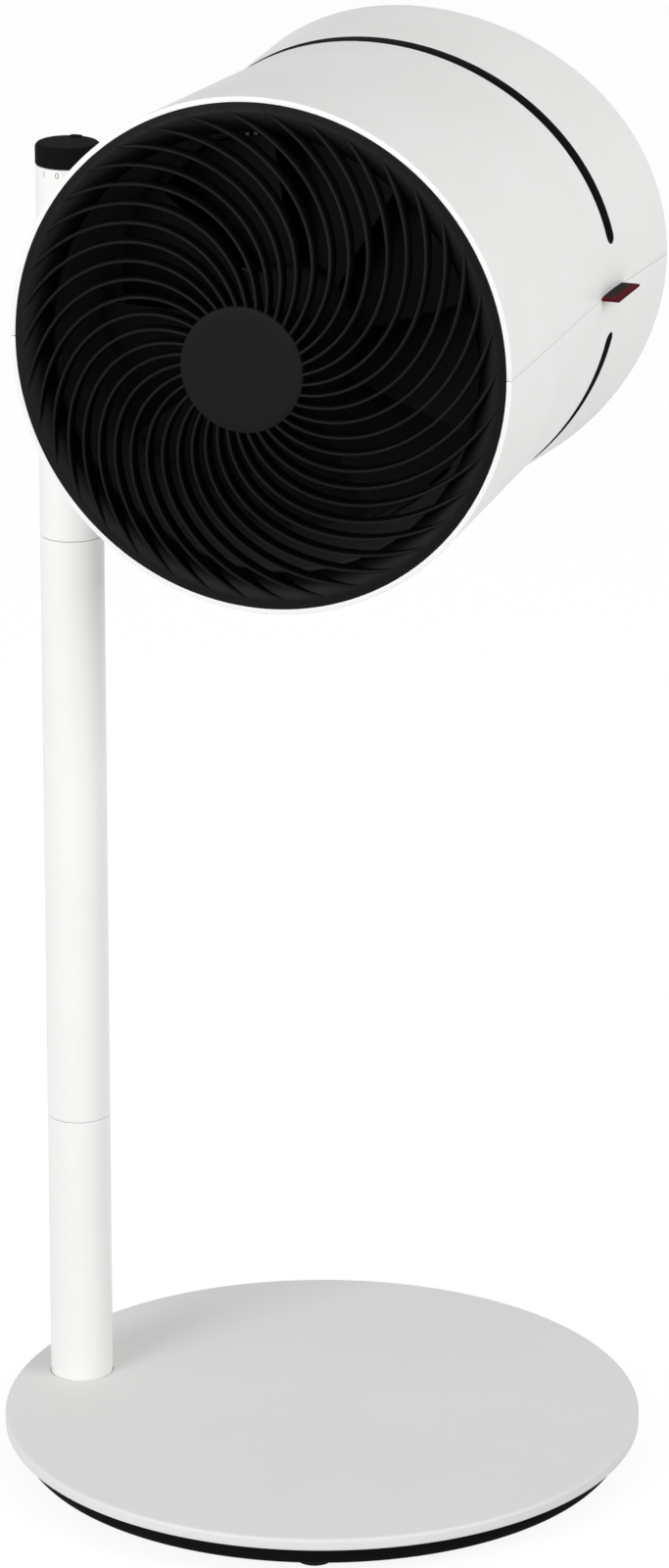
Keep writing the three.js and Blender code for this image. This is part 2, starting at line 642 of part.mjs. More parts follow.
function makeSwivel() {
  const spigotTop = middleTubeTop + SWIVEL_SPIGOT_LENGTH;
  addPiece(column, 'swivel_pin', turned([
    [SWIVEL_BORE_RADIUS, middleTubeTop - SWIVEL_PLUG_LENGTH],
    [plugRadius, middleTubeTop - SWIVEL_PLUG_LENGTH],
    [plugRadius, middleTubeTop],
    [SWIVEL_SPIGOT_RADIUS, middleTubeTop],
    [SWIVEL_SPIGOT_RADIUS, spigotTop],
    [SWIVEL_BORE_RADIUS, spigotTop],
  ]), steel);
  const sleeve = SWIVEL_SPIGOT_RADIUS + RUNNING_GAP;
  addPiece(column, 'swivel_bush',
    rod(plugRadius, postBottom, swivelBushTop, FACETS_TUBE, sleeve), nylon);
  const washerRadius = plugRadius - 2 * CLEARANCE;
  const washerBottom = swivelWasherTop - SWIVEL_WASHER_THICKNESS;
  addPiece(column, 'swivel_washer',
    rod(washerRadius, washerBottom, swivelWasherTop, FACETS_TUBE, sleeve), bronze);
  const nutBottom = swivelNutTop - SWIVEL_NUT_HEIGHT;
  const nutBore = rod(SWIVEL_SPIGOT_RADIUS + CLEARANCE, nutBottom - OVERSHOOT, swivelNutTop + OVERSHOOT);
  addPiece(column, 'swivel_nut',
    cut(solid(rod(washerRadius, nutBottom, swivelNutTop, NUT_SIDES)), solid(nutBore)), steel);
}

// ---------------------------------------------------------------- post and speed knob
function makePost() {
  const post = cut(
    solid(rod(TUBE_RADIUS, postBottom, postTop, FACETS_TUBE, tubeBore)),
    solid(rodAlongX(AXLE_RADIUS + CLEARANCE, 0, TUBE_RADIUS + OVERSHOOT).translate(0, 0, pivotHeight)),
  );
  addPiece(column, 'swivel_post', post, whitePaint);

  const anchorRadius = plugRadius;
  const anchorBottom = pivotHeight - ANCHOR_HEIGHT / 2;
  const anchorTop = pivotHeight + ANCHOR_HEIGHT / 2;
  const anchor = cut(
    solid(rod(anchorRadius, anchorBottom, anchorTop)),
    solid(rodAlongX(AXLE_RADIUS + CLEARANCE, -AXLE_ROOT - CLEARANCE, anchorRadius + OVERSHOOT)
      .translate(0, 0, pivotHeight)),
    solid(rod(leadHoleRadius, anchorBottom - OVERSHOOT, anchorTop + OVERSHOOT, FACETS_SCREW)
      .translate(-LEAD_HOLE_OFFSET, 0, 0)),
  );
  addPiece(column, 'axle_anchor', anchor, steel);
}

function makeSpeedControl() {
  const capBottom = postTop - POST_CAP_HEIGHT;
  const cap = rod(plugRadius, capBottom, postTop, FACETS_TUBE, SWITCH_NECK_RADIUS + CLEARANCE);
  addPiece(column, 'post_cap', cap, whitePlastic);

  const bodyTop = capBottom - CLEARANCE;
  const bore = SWITCH_SHAFT_RADIUS + RUNNING_GAP;
  addPiece(column, 'speed_switch', turned([
    [bore, bodyTop - SWITCH_BODY_HEIGHT],
    [SWITCH_BODY_RADIUS, bodyTop - SWITCH_BODY_HEIGHT],
    [SWITCH_BODY_RADIUS, bodyTop],
    [SWITCH_NECK_RADIUS, bodyTop],
    [SWITCH_NECK_RADIUS, bodyTop + SWITCH_NECK_HEIGHT],
    [bore, bodyTop + SWITCH_NECK_HEIGHT],
  ], FACETS_SMALL), steel);

  const knobBottom = postTop + RUNNING_GAP;
  const knobTop = knobBottom + KNOB_HEIGHT;
  const boreTop = knobBottom + KNOB_BORE_DEPTH;
  const shaft = rod(SWITCH_SHAFT_RADIUS, bodyTop - SWITCH_BODY_HEIGHT, boreTop - CLEARANCE, FACETS_SMALL);
  addPiece(column, 'switch_shaft', shaft, steel);

  const shaftBore = SWITCH_SHAFT_RADIUS + CLEARANCE;
  const nubReach = KNOB_RADIUS - KNOB_BEVEL - KNOB_NUB_LENGTH;
  const dial = solid(turned([
    [shaftBore, knobBottom],
    [KNOB_RADIUS, knobBottom],
    [KNOB_RADIUS, knobTop - KNOB_BEVEL],
    [KNOB_RADIUS - KNOB_BEVEL, knobTop],
    [0, knobTop],
    [0, boreTop],
    [shaftBore, boreTop],
  ]));
  const nub = solid(block(
    [-KNOB_NUB_WIDTH / 2, nubReach, knobTop - JOIN_ROOT],
    [KNOB_NUB_WIDTH / 2, nubReach + KNOB_NUB_LENGTH, knobTop + KNOB_NUB_HEIGHT],
  ));
  addPiece(column, 'speed_knob', join(dial, nub), knobPlastic);

  const boardBottom = postBottom + BOARD_FOOT;
  const halfWidth = Math.sqrt(tubeBore ** 2 - (BOARD_THICKNESS / 2) ** 2) - 2 * CLEARANCE;
  const board = solid(block(
    [-BOARD_THICKNESS / 2, -halfWidth, boardBottom],
    [BOARD_THICKNESS / 2, halfWidth, boardBottom + BOARD_LENGTH],
  ));
  const driverBottom = boardBottom + (BOARD_LENGTH - DRIVER_LENGTH) / 2;
  const driver = solid(block(
    [0, -DRIVER_WIDTH / 2, driverBottom],
    [BOARD_THICKNESS / 2 + DRIVER_HEIGHT, DRIVER_WIDTH / 2, driverBottom + DRIVER_LENGTH],
  ));
  addPiece(column, 'control_board', join(board, driver), boardGreen);
}

// ---------------------------------------------------------------- tilt joint, in the head's own frame
const saddleFace = postAxis + TUBE_RADIUS + SADDLE_THICKNESS;
const tiltWasherFrom = saddleFace + CLEARANCE;
const collarFrom = tiltWasherFrom + TILT_WASHER_THICKNESS + CLEARANCE;
const bushBore = AXLE_RADIUS + RUNNING_GAP;
const bushRadius = bushBore + BUSH_WALL;
const hubPlateTo = -(shellAtPivot - SHELL_WALL) + CLEARANCE + HUB_PLATE_THICKNESS;
const flangeFrom = hubPlateTo + CLEARANCE;
const flangeTo = flangeFrom + BUSH_FLANGE_THICKNESS;
const springWasherTo = flangeTo + CLEARANCE + SPRING_WASHER_THICKNESS;
const nutFrom = springWasherTo + CLEARANCE;
const nutTo = nutFrom + TILT_NUT_THICKNESS;

/** The cone that a piece of the tilt joint is cut to, so that it seats on the shell's wall. */
function coneInHead(offset) {
  const reach = PIVOT_DEPTH + HUB_PLATE_RADIUS * 2;
  return turnedInHead([
    [0, 0],
    [0, frontConeRadius(0, 0) + offset],
    [reach, frontConeRadius(reach, 0) + offset],
    [reach, 0],
  ]);
}

function makeTiltJoint() {
  const saddle = cut(
    solid(rodAlongX(SADDLE_RADIUS, postAxis, saddleFace, FACETS_TUBE)),
    solid(rod(TUBE_RADIUS + CLEARANCE, -SADDLE_RADIUS * 2, SADDLE_RADIUS * 2).translate(postAxis, 0, 0)),
    solid(rodAlongX(AXLE_RADIUS + CLEARANCE, postAxis, saddleFace + OVERSHOOT)),
  );
  addPiece(head, 'tilt_saddle', saddle, whitePlastic);
  addPiece(head, 'tilt_axle',
    rodAlongX(AXLE_RADIUS, postAxis - AXLE_ROOT, nutTo + AXLE_END, FACETS_TUBE, AXLE_BORE_RADIUS), steel);
  addPiece(head, 'tilt_washer', rodAlongX(SADDLE_RADIUS, tiltWasherFrom, collarFrom - CLEARANCE,
    FACETS_TUBE, AXLE_RADIUS + CLEARANCE), bronze);

  const collarBlank = rodAlongX(COLLAR_RADIUS, collarFrom, -shellAtPivot + COLLAR_RADIUS, FACETS_TUBE,
    bushRadius + CLEARANCE);
  addPiece(head, 'tilt_collar', cut(solid(collarBlank), solid(coneInHead(CLEARANCE))), whitePlastic);

  const plateBlank = rodAlongX(HUB_PLATE_RADIUS, -shellAtPivot, hubPlateTo, FACETS_TUBE,
    bushRadius + CLEARANCE);
  addPiece(head, 'hub_plate', solid(plateBlank).intersect(solid(coneInHead(-SHELL_WALL - CLEARANCE))), steel);

  addPiece(head, 'tilt_bush', turned([
    [bushBore, collarFrom],
    [bushRadius, collarFrom],
    [bushRadius, flangeFrom],
    [BUSH_FLANGE_RADIUS, flangeFrom],
    [BUSH_FLANGE_RADIUS, flangeTo],
    [bushBore, flangeTo],
  ]).rotateY(Math.PI / 2), nylon);
  addPiece(head, 'spring_washer', rodAlongX(BUSH_FLANGE_RADIUS, flangeTo + CLEARANCE, springWasherTo,
    FACETS_TUBE, AXLE_RADIUS + CLEARANCE), steel);
  addPiece(head, 'tilt_nut', cut(
    solid(rodAlongX(TILT_NUT_RADIUS, nutFrom, nutTo, NUT_SIDES)),
    solid(rodAlongX(AXLE_RADIUS + CLEARANCE, nutFrom - OVERSHOOT, nutTo + OVERSHOOT, FACETS_TUBE)),
  ), steel);
}

// ---------------------------------------------------------------- shell halves
const SHELL_STEP = 7.5; // degrees between two sections of the shell
const ROLL_ARC = [0, 45, 90].map(radians);
const tagFront = slotDepth(0) - TAG_LEAD - TAG_LENGTH / 2;
const tagRear = tagFront + TAG_LENGTH;

/** The wall of the shell at one angle, as [depth, radius] points. */
function shellWall(angle) {
  const waist = waistDepth(angle);
  const rear = rearDepth(angle);
  const centre = [rear - REAR_ROLL, SHELL_REAR_RADIUS - REAR_ROLL];
  const arc = (radius) => ROLL_ARC.map((turn) => [
    centre[0] + radius * Math.sin(turn),
    centre[1] + radius * Math.cos(turn),
  ]);
  return [
    [0, SHELL_FRONT_RADIUS - LIP_BEVEL],
    [LIP_BEVEL, SHELL_FRONT_RADIUS],
    [waist, SHELL_WAIST_RADIUS],
    ...arc(REAR_ROLL),
    ...arc(REAR_ROLL - SHELL_WALL).reverse(),
    [waist, SHELL_WAIST_RADIUS - SHELL_WALL],
    [0, SHELL_FRONT_RADIUS - SHELL_WALL],
  ];
}

/** A sweep of a wall round the head, between two angles in degrees. */
function sweptWall(wall, fromDegrees, toDegrees, step) {
  const count = Math.round((toDegrees - fromDegrees) / step);
  const sections = Array.from({ length: count + 1 }, (_, i) => {
    const angle = radians(lerp(fromDegrees, toDegrees, i / count));
    return wall(angle).map(([depth, radius]) => headPoint(radius, angle, depth));
  });
  const flat = wall(radians(fromDegrees)).map(([depth, radius]) => new THREE.Vector2(depth, radius));
  return lofted(sections, flat);
}

/** The long curved opening behind the waist, with round ends. */
function slotCutter() {
  const inside = Math.min(SHELL_WAIST_RADIUS, SHELL_REAR_RADIUS) - 3 * SHELL_WALL;
  const outside = Math.max(SHELL_WAIST_RADIUS, SHELL_REAR_RADIUS) + SHELL_WALL;
  const band = (angle) => {
    const front = slotDepth(angle) - SLOT_WIDTH / 2;
    const rear = slotDepth(angle) + SLOT_WIDTH / 2;
    return [[front, inside], [front, outside], [rear, outside], [rear, inside]];
  };
  const ends = [SLOT_END_ANGLE, 180 - SLOT_END_ANGLE].map((degrees) => {
    const angle = radians(degrees);
    const end = rodAlongX(SLOT_WIDTH / 2, inside, outside, FACETS_SMALL).rotateY(-angle);
    return solid(end.translate(0, slotDepth(angle) - PIVOT_DEPTH, 0));
  });
  return join(solid(sweptWall(band, SLOT_END_ANGLE, 180 - SLOT_END_ANGLE, SHELL_STEP)), ...ends);
}

/** Places of the four shell screws: x on both sides, at two depths. */
function shellBossPlaces() {
  return [SHELL_BOSS_DEPTH, SHELL_LENGTH - SHELL_BOSS_SETBACK].flatMap((depth) => {
    const reach = shellRadius(depth) - SHELL_WALL - SHELL_BOSS_RADIUS + SHELL_BOSS_ROOT;
    return [[reach, depth - PIVOT_DEPTH], [-reach, depth - PIVOT_DEPTH]];
  });
}

function makeShells() {
  const wide = SHELL_FRONT_RADIUS * 2;
  const deep = SHELL_LENGTH * 2;
  const halfGap = SEAM_GAP / 2;
  const screwHole = SHELL_SCREW_RADIUS + CLEARANCE;
  const headHole = SHELL_SCREW_HEAD_RADIUS + CLEARANCE;
  const headHoleEnd = SHELL_BOSS_HEIGHT + SHELL_SCREW_HEAD_HEIGHT + 2 * CLEARANCE;
  const notch = solid(block(
    [SHELL_WAIST_RADIUS - TAG_ROOT - CLEARANCE, tagFront - PIVOT_DEPTH - CLEARANCE,
      -TAG_THICKNESS / 2 - CLEARANCE],
    [SHELL_WAIST_RADIUS + TAG_STAND_OUT, tagRear - PIVOT_DEPTH + CLEARANCE, TAG_THICKNESS / 2 + CLEARANCE],
  ));
  const bushHole = solid(rodAlongX(bushRadius + CLEARANCE, collarFrom, hubPlateTo, FACETS_TUBE));
  for (const [name, side] of [['upper_shell', 1], ['lower_shell', -1]]) {
    const wall = solid(sweptWall(shellWall, -SHELL_STEP, 180 + SHELL_STEP, SHELL_STEP));
    let shell = cut(wall, slotCutter());
    for (const [x, y] of shellBossPlaces()) {
      const place = (shape) => solid(shape.translate(x, y, 0));
      const boss = place(rod(SHELL_BOSS_RADIUS, -JOIN_ROOT, SHELL_BOSS_HEIGHT, FACETS_SCREW));
      const holeEnd = side > 0 ? SHELL_BOSS_HEIGHT - SHELL_WALL : SHELL_BOSS_HEIGHT;
      shell = cut(join(shell, boss), place(rod(screwHole, -JOIN_ROOT - OVERSHOOT, holeEnd, FACETS_SCREW)));
      if (side < 0) {
        shell = cut(shell, place(rod(headHole, SHELL_BOSS_HEIGHT, headHoleEnd, FACETS_SCREW)));
      }
    }
    const half = shell.intersect(solid(block([-wide, -deep, halfGap], [wide, deep, wide])));
    const placed = side > 0 ? half : solid(faceted(half).scale(1, 1, -1));
    addPiece(head, name, cut(placed, notch, bushHole), whitePlastic);
  }
}

function makeShellScrews() {
  const headTop = -SHELL_BOSS_HEIGHT - CLEARANCE;
  const headBottom = headTop - SHELL_SCREW_HEAD_HEIGHT;
  const tip = SHELL_BOSS_HEIGHT - SHELL_WALL - CLEARANCE;
  shellBossPlaces().forEach(([x, y], i) => {
    const screw = turned([
      [0, headBottom],
      [SHELL_SCREW_HEAD_RADIUS, headBottom],
      [SHELL_SCREW_HEAD_RADIUS, headTop],
      [SHELL_SCREW_RADIUS, headTop],
      [SHELL_SCREW_RADIUS, tip],
      [0, tip],
    ], FACETS_SCREW);
    addPiece(head, `shell_screw_${i + 1}`, screw.translate(x, y, 0), steel);
  });
}

function makeSeamTag() {
  addPiece(head, 'seam_tag', block(
    [SHELL_WAIST_RADIUS - TAG_ROOT, tagFront - PIVOT_DEPTH, -TAG_THICKNESS / 2],
    [SHELL_WAIST_RADIUS + TAG_STAND_OUT, tagRear - PIVOT_DEPTH, TAG_THICKNESS / 2],
  ), redWoven);
}

// ---------------------------------------------------------------- front grille
/** Depth of the dome on which the fronts of the ribs lie. */
function domeDepth(radius) {
  const share = Math.max(radius - GRILLE_DISC_RADIUS, 0) / domeRun;
  return -GRILLE_DOME * (1 - share ** GRILLE_DOME_POWER);
}

/** Angle of a rib at a radius: it leaves the disc steeply and sweeps round as it runs outwards. */
function ribAngle(radius, start) {
  const run = radius - GRILLE_DISC_RADIUS;
  return start + radians(GRILLE_RIB_TURN * run + GRILLE_RIB_CURL * run * run);
}

function makeFrontGrille() {
  const innerRim = grilleRadius - GRILLE_RIM_WIDTH;
  const middleRim = grilleRadius - GRILLE_RIM_WIDTH / 2;
  const hubFront = -GRILLE_DOME + CAP_THICKNESS;
  const hubRear = hubFront + GRILLE_HUB_DEPTH;
  const rim = solid(turnedInHead([
    [CLEARANCE, grilleRadius],
    [GRILLE_RIM_DEPTH, rimSeatRadius(GRILLE_RIM_DEPTH)],
    [GRILLE_RIM_DEPTH, innerRim],
    [domeDepth(innerRim) + GRILLE_RIM_STEP, innerRim],
    [domeDepth(middleRim), middleRim],
  ]));
  const hub = solid(turnedInHead([
    [hubFront, CAP_PEG_RADIUS + CLEARANCE],
    [hubFront, GRILLE_DISC_RADIUS],
    [hubRear, GRILLE_DISC_RADIUS],
    [hubRear, CAP_PEG_RADIUS + CLEARANCE],
  ], FACETS_TUBE));
  const from = GRILLE_DISC_RADIUS - 2 * GRILLE_RIB_THICKNESS;
  const to = innerRim + GRILLE_RIB_OVERRUN;
  const ribs = Array.from({ length: GRILLE_RIB_COUNT }, (_, i) => {
    const start = radians(GRILLE_RIB_START) + (i * 2 * Math.PI) / GRILLE_RIB_COUNT;
    const stations = Array.from({ length: GRILLE_RIB_STATIONS }, (_, j) => {
      const radius = lerp(from, to, j / (GRILLE_RIB_STATIONS - 1));
      const front = domeDepth(radius);
      return { radius, angle: ribAngle(radius, start), front, rear: front + GRILLE_RIB_DEPTH };
    });
    return solid(fin(stations, GRILLE_RIB_THICKNESS));
  });
  const capSeat = solid(rodInHead(GRILLE_DISC_RADIUS, -2 * GRILLE_DOME, hubFront));
  addPiece(head, 'front_grille', cut(join(rim, hub, ...ribs), capSeat), blackPlastic);

  const capRadius = GRILLE_DISC_RADIUS - CLEARANCE;
  addPiece(head, 'grille_cap', turnedInHead([
    [-GRILLE_DOME - CAP_CROWN, 0],
    [-GRILLE_DOME, capRadius - CAP_BEVEL],
    [-GRILLE_DOME + CAP_BEVEL, capRadius],
    [hubFront - CLEARANCE, capRadius],
    [hubFront - CLEARANCE, CAP_PEG_RADIUS],
    [hubFront + CAP_PEG_LENGTH, CAP_PEG_RADIUS],
    [hubFront + CAP_PEG_LENGTH, 0],
  ], FACETS_TUBE), blackPlastic);
}

// ---------------------------------------------------------------- rear grille
const rearSeats = [rearGrilleDepth - DUCT_FLANGE_THICKNESS, rearGrilleDepth + REAR_GRILLE_THICKNESS];
const rearWalls = [0, Math.PI / 2].flatMap((angle) => rearSeats.map((depth) => shellRadius(depth, angle)));
const rearGrilleRadius = Math.min(...rearWalls) - SHELL_WALL - 2 * CLEARANCE;
const rearScrewCircle = rearGrilleRadius - REAR_GRILLE_RIM_WIDTH / 2;
const rearScrewAngles = Array.from(
  { length: REAR_SCREW_COUNT },
  (_, i) => Math.PI / 2 + (i * 2 * Math.PI) / REAR_SCREW_COUNT,
);

/** A rod along the head's axis at one place on the circle of the rear screws. */
function atRearScrew(shape, angle) {
  return shape.translate(rearScrewCircle * Math.cos(angle), 0, rearScrewCircle * Math.sin(angle));
}

function makeRearGrille() {
  const front = rearGrilleDepth;
  const rear = rearGrilleDepth + REAR_GRILLE_THICKNESS;
  const innerRim = rearGrilleRadius - REAR_GRILLE_RIM_WIDTH;
  const ringMiddle = REAR_GRILLE_RING_RADIUS + REAR_GRILLE_RING_WIDTH / 2;
  const sweep = radians(REAR_GRILLE_SWEEP) / (innerRim - REAR_GRILLE_HUB_RADIUS);
  const ring = (inner, outer, facets) => solid(rodInHead(outer, front, rear, facets, inner));
  const ribs = (count, from, to) => Array.from({ length: count }, (_, i) => {
    const start = (i * 2 * Math.PI) / count;
    const stations = [from, to].map((radius) => ({
      radius,
      angle: start - sweep * (radius - REAR_GRILLE_HUB_RADIUS),
      front: front + REAR_GRILLE_RIB_SETBACK,
      rear: rear - REAR_GRILLE_RIB_SETBACK,
    }));
    return solid(fin(stations, REAR_GRILLE_RIB_THICKNESS));
  });
  let grille = join(
    ring(innerRim, rearGrilleRadius, FACETS_LARGE),
    ring(REAR_GRILLE_RING_RADIUS, REAR_GRILLE_RING_RADIUS + REAR_GRILLE_RING_WIDTH, FACETS_TUBE),
    solid(rodInHead(REAR_GRILLE_HUB_RADIUS, front, rear, FACETS_TUBE)),
    ...ribs(REAR_GRILLE_RIB_COUNT, REAR_GRILLE_HUB_RADIUS - JOIN_ROOT, ringMiddle),
    ...ribs(2 * REAR_GRILLE_RIB_COUNT, ringMiddle, innerRim + JOIN_ROOT),
  );
  for (const angle of rearScrewAngles) {
    const hole = rodInHead(REAR_SCREW_RADIUS + CLEARANCE, front - OVERSHOOT, rear + OVERSHOOT, FACETS_SCREW);
    grille = cut(grille, solid(atRearScrew(hole, angle)));
  }
  addPiece(head, 'rear_grille', grille, blackPlastic);

  rearScrewAngles.forEach((angle, i) => {
    const seat = rear + CLEARANCE;
    const screw = turnedInHead([
      [seat + REAR_SCREW_HEAD_HEIGHT, 0],
      [seat + REAR_SCREW_HEAD_HEIGHT, REAR_SCREW_HEAD_RADIUS],
      [seat, REAR_SCREW_HEAD_RADIUS],
      [seat, REAR_SCREW_RADIUS],
      [seat - REAR_SCREW_LENGTH, REAR_SCREW_RADIUS],
      [seat - REAR_SCREW_LENGTH, 0],
    ], FACETS_SCREW);
    addPiece(head, `rear_screw_${i + 1}`, atRearScrew(screw, angle), steel);
  });
}

// ---------------------------------------------------------------- air duct and motor support
const BELL_ARC = [0, 35, 90].map(radians);

function makeAirDuct() {
  const flangeFront = GRILLE_RIM_DEPTH + CLEARANCE;
  const flangeRear = flangeFront + DUCT_FLANGE_THICKNESS;
  const rearSeat = rearGrilleDepth - CLEARANCE;
  const tailFlange = rearSeat - DUCT_FLANGE_THICKNESS;
  const frontRim = rimSeatRadius(flangeRear);
  const bell = frontRim - GRILLE_RIM_WIDTH / 2;
  const tailBell = rearGrilleRadius - REAR_GRILLE_RIM_WIDTH;
  const mouth = (from, wall) => BELL_ARC.map((turn) => [
    lerp(DUCT_THROAT_DEPTH, from, Math.cos(turn)),
    lerp(bell, ductBore, Math.sin(turn)) + wall,
  ]);
  let duct = solid(turnedInHead([
    [flangeFront, frontRim],
    [flangeRear, frontRim],
    ...mouth(flangeRear, DUCT_WALL),
    [ductTailDepth, ductOuterRadius],
    [tailFlange, tailBell + DUCT_WALL],
    [tailFlange, rearGrilleRadius],
    [rearSeat, rearGrilleRadius],
    [rearSeat, tailBell],
    [ductTailDepth, ductBore],
    ...mouth(flangeFront, 0).reverse(),
  ]));
  for (const angle of rearScrewAngles) {
    const seat = rearGrilleDepth + REAR_GRILLE_THICKNESS + CLEARANCE;
    const hole = rodInHead(REAR_SCREW_RADIUS + CLEARANCE, seat - REAR_SCREW_LENGTH - CLEARANCE, seat,
      FACETS_SCREW);
    duct = cut(duct, solid(atRearScrew(hole, angle)));
  }
  addPiece(head, 'air_duct', duct, blackPlastic);
}

function makeMotorSupport() {
  const cupRadius = MOTOR_RADIUS + CLEARANCE + SUPPORT_WALL;
  const cupRear = motorFront + MOTOR_LENGTH + CLEARANCE;
  const ringRadius = ductBore - CLEARANCE;
  const ringFront = cupRear - SUPPORT_RING_LENGTH;
  const cup = solid(turnedInHead([
    [motorFront + 2 * CLEARANCE, cupRadius],
    [cupRear + SUPPORT_WALL, cupRadius],
    [cupRear + SUPPORT_WALL, SHAFT_RADIUS + SUPPORT_WALL],
    [cupRear, SHAFT_RADIUS + SUPPORT_WALL],
    [cupRear, MOTOR_RADIUS + CLEARANCE],
    [motorFront + 2 * CLEARANCE, MOTOR_RADIUS + CLEARANCE],
  ], FACETS_TUBE));
  const ring = solid(rodInHead(ringRadius, ringFront, cupRear, FACETS_LARGE, ringRadius - SUPPORT_WALL));
  const vanes = Array.from({ length: SUPPORT_VANE_COUNT }, (_, i) => {
    const start = (i * 2 * Math.PI) / SUPPORT_VANE_COUNT;
    const vaneFront = cupRear - SUPPORT_VANE_LENGTH;
    const lean = SUPPORT_VANE_LEAN / ringRadius;
    const stations = Array.from({ length: SUPPORT_VANE_STATIONS }, (__, j) => {
      const share = j / (SUPPORT_VANE_STATIONS - 1);
      return {
        radius: lerp(cupRadius - JOIN_ROOT, ringRadius - JOIN_ROOT, share),
        angle: start + lean * share,
        front: vaneFront + SUPPORT_VANE_TAPER * share,
        rear: cupRear,
      };
    });
    return solid(fin(stations, SUPPORT_VANE_THICKNESS));
  });
  addPiece(head, 'motor_support', join(cup, ring, ...vanes), blackPlastic);
}

// ---------------------------------------------------------------- motor
function makeMotor() {
  const canFront = motorFront + MOTOR_WALL;
  const canRear = motorFront + MOTOR_LENGTH;
  const bearingSeat = BEARING_RADIUS + CLEARANCE;
  const shaftHole = SHAFT_RADIUS + RUNNING_GAP;
  const frontBearing = canFront;
  const rearBearing = canRear - BEARING_WIDTH;
  const canBore = MOTOR_RADIUS - MOTOR_WALL;
  addPiece(head, 'motor_housing', turnedInHead([
    [motorFront, shaftHole],
    [motorFront, MOTOR_RADIUS],
    [canRear, MOTOR_RADIUS],
    [canRear, canBore],
    [canFront + BEARING_WIDTH, canBore],
    [canFront + BEARING_WIDTH, bearingSeat],
    [canFront, bearingSeat],
    [canFront, shaftHole],
  ], FACETS_TUBE), steel);
  addPiece(head, 'motor_end_cap', turnedInHead([
    [rearBearing, bearingSeat],
    [rearBearing, canBore - CLEARANCE],
    [canRear, canBore - CLEARANCE],
    [canRear, bearingSeat],
  ], FACETS_TUBE), steel);
  const bearing = (from) => rodInHead(BEARING_RADIUS, from, from + BEARING_WIDTH, FACETS_TUBE, shaftHole);
  addPiece(head, 'front_bearing', bearing(frontBearing + CLEARANCE), steel);
  addPiece(head, 'rear_bearing', bearing(rearBearing), steel);
  const middle = (canFront + BEARING_WIDTH + rearBearing) / 2;
  const statorFront = middle - STATOR_LENGTH / 2;
  const statorRear = middle + STATOR_LENGTH / 2;
  addPiece(head, 'motor_stator',
    rodInHead(canBore - CLEARANCE, statorFront, statorRear, FACETS_TUBE, STATOR_BORE_RADIUS), copper);
  addPiece(head, 'motor_rotor', rodInHead(STATOR_BORE_RADIUS - ROTOR_GAP, statorFront, statorRear,
    FACETS_TUBE, SHAFT_RADIUS + CLEARANCE), castIron);
  addPiece(head, 'motor_shaft', rodInHead(SHAFT_RADIUS, shaftFront, canRear, FACETS_SMALL), steel);
}

// ---------------------------------------------------------------- impeller
// Corners of a blade's section, as shares of its chord and of its thickness
const BLADE_SECTION = [[-0.5, 0], [-0.2, 0.5], [0.2, 0.5], [0.5, 0], [0.2, -0.5], [-0.2, -0.5]];

function makeImpeller() {
  const hubRear = IMPELLER_DEPTH + IMPELLER_HUB_LENGTH;
  const middle = (IMPELLER_DEPTH + hubRear) / 2;
  const hub = solid(turnedInHead([
    [IMPELLER_DEPTH, SHAFT_RADIUS + CLEARANCE],
    [IMPELLER_DEPTH, IMPELLER_HUB_RADIUS - IMPELLER_NOSE_CHAMFER],
    [IMPELLER_DEPTH + IMPELLER_NOSE_CHAMFER, IMPELLER_HUB_RADIUS],
    [hubRear, IMPELLER_HUB_RADIUS],
    [hubRear, SHAFT_RADIUS + CLEARANCE],
  ], FACETS_TUBE));
  const flat = BLADE_SECTION.map(([along, across]) => new THREE.Vector2(along, across));
  const blades = Array.from({ length: IMPELLER_BLADE_COUNT }, (_, i) => {
    const start = (i * 2 * Math.PI) / IMPELLER_BLADE_COUNT;
    const sections = Array.from({ length: BLADE_STATIONS }, (__, j) => {
      const share = j / (BLADE_STATIONS - 1);
      const radius = lerp(IMPELLER_HUB_RADIUS - BLADE_ROOT, impellerTipRadius, share);
      const chord = lerp(BLADE_ROOT_CHORD, BLADE_TIP_CHORD, share);
      const pitch = radians(lerp(BLADE_ROOT_PITCH, BLADE_TIP_PITCH, share));
      return BLADE_SECTION.map(([along, across]) => {
        const round = chord * along * Math.cos(pitch) - BLADE_THICKNESS * across * Math.sin(pitch);
        const back = chord * along * Math.sin(pitch) + BLADE_THICKNESS * across * Math.cos(pitch);
        return headPoint(radius, start + round / radius, middle + back);
      });
    });
    return solid(lofted(sections, flat));
  });
  addPiece(head, 'impeller', join(hub, ...blades), blackPlastic);

  const noseRear = IMPELLER_DEPTH - CLEARANCE;
  const noseFront = noseRear - SPINNER_LENGTH;
  addPiece(head, 'impeller_nut', turnedInHead([
    [noseFront, 0],
    [noseFront + SPINNER_BROW_LENGTH, SPINNER_BROW_RADIUS],
    [noseFront + SPINNER_CHEEK_LENGTH, SPINNER_CHEEK_RADIUS],
    [noseRear, SPINNER_RADIUS],
    [noseRear, SHAFT_RADIUS + CLEARANCE],
    [shaftFront - CLEARANCE, SHAFT_RADIUS + CLEARANCE],
    [shaftFront - CLEARANCE, 0],
  ], FACETS_TUBE), blackPlastic);
}

makeBasePlate();
makeSupplyLead();
makeBasePan();
makeFeetAndPanScrews();
makePowerInlet();
makeColumn();
makeSwivel();
makePost();
makeSpeedControl();
makeTiltJoint();
makeShells();
makeShellScrews();
makeSeamTag();
makeFrontGrille();
makeRearGrille();
makeAirDuct();
makeMotorSupport();
makeMotor();
makeImpeller();

export default fan;
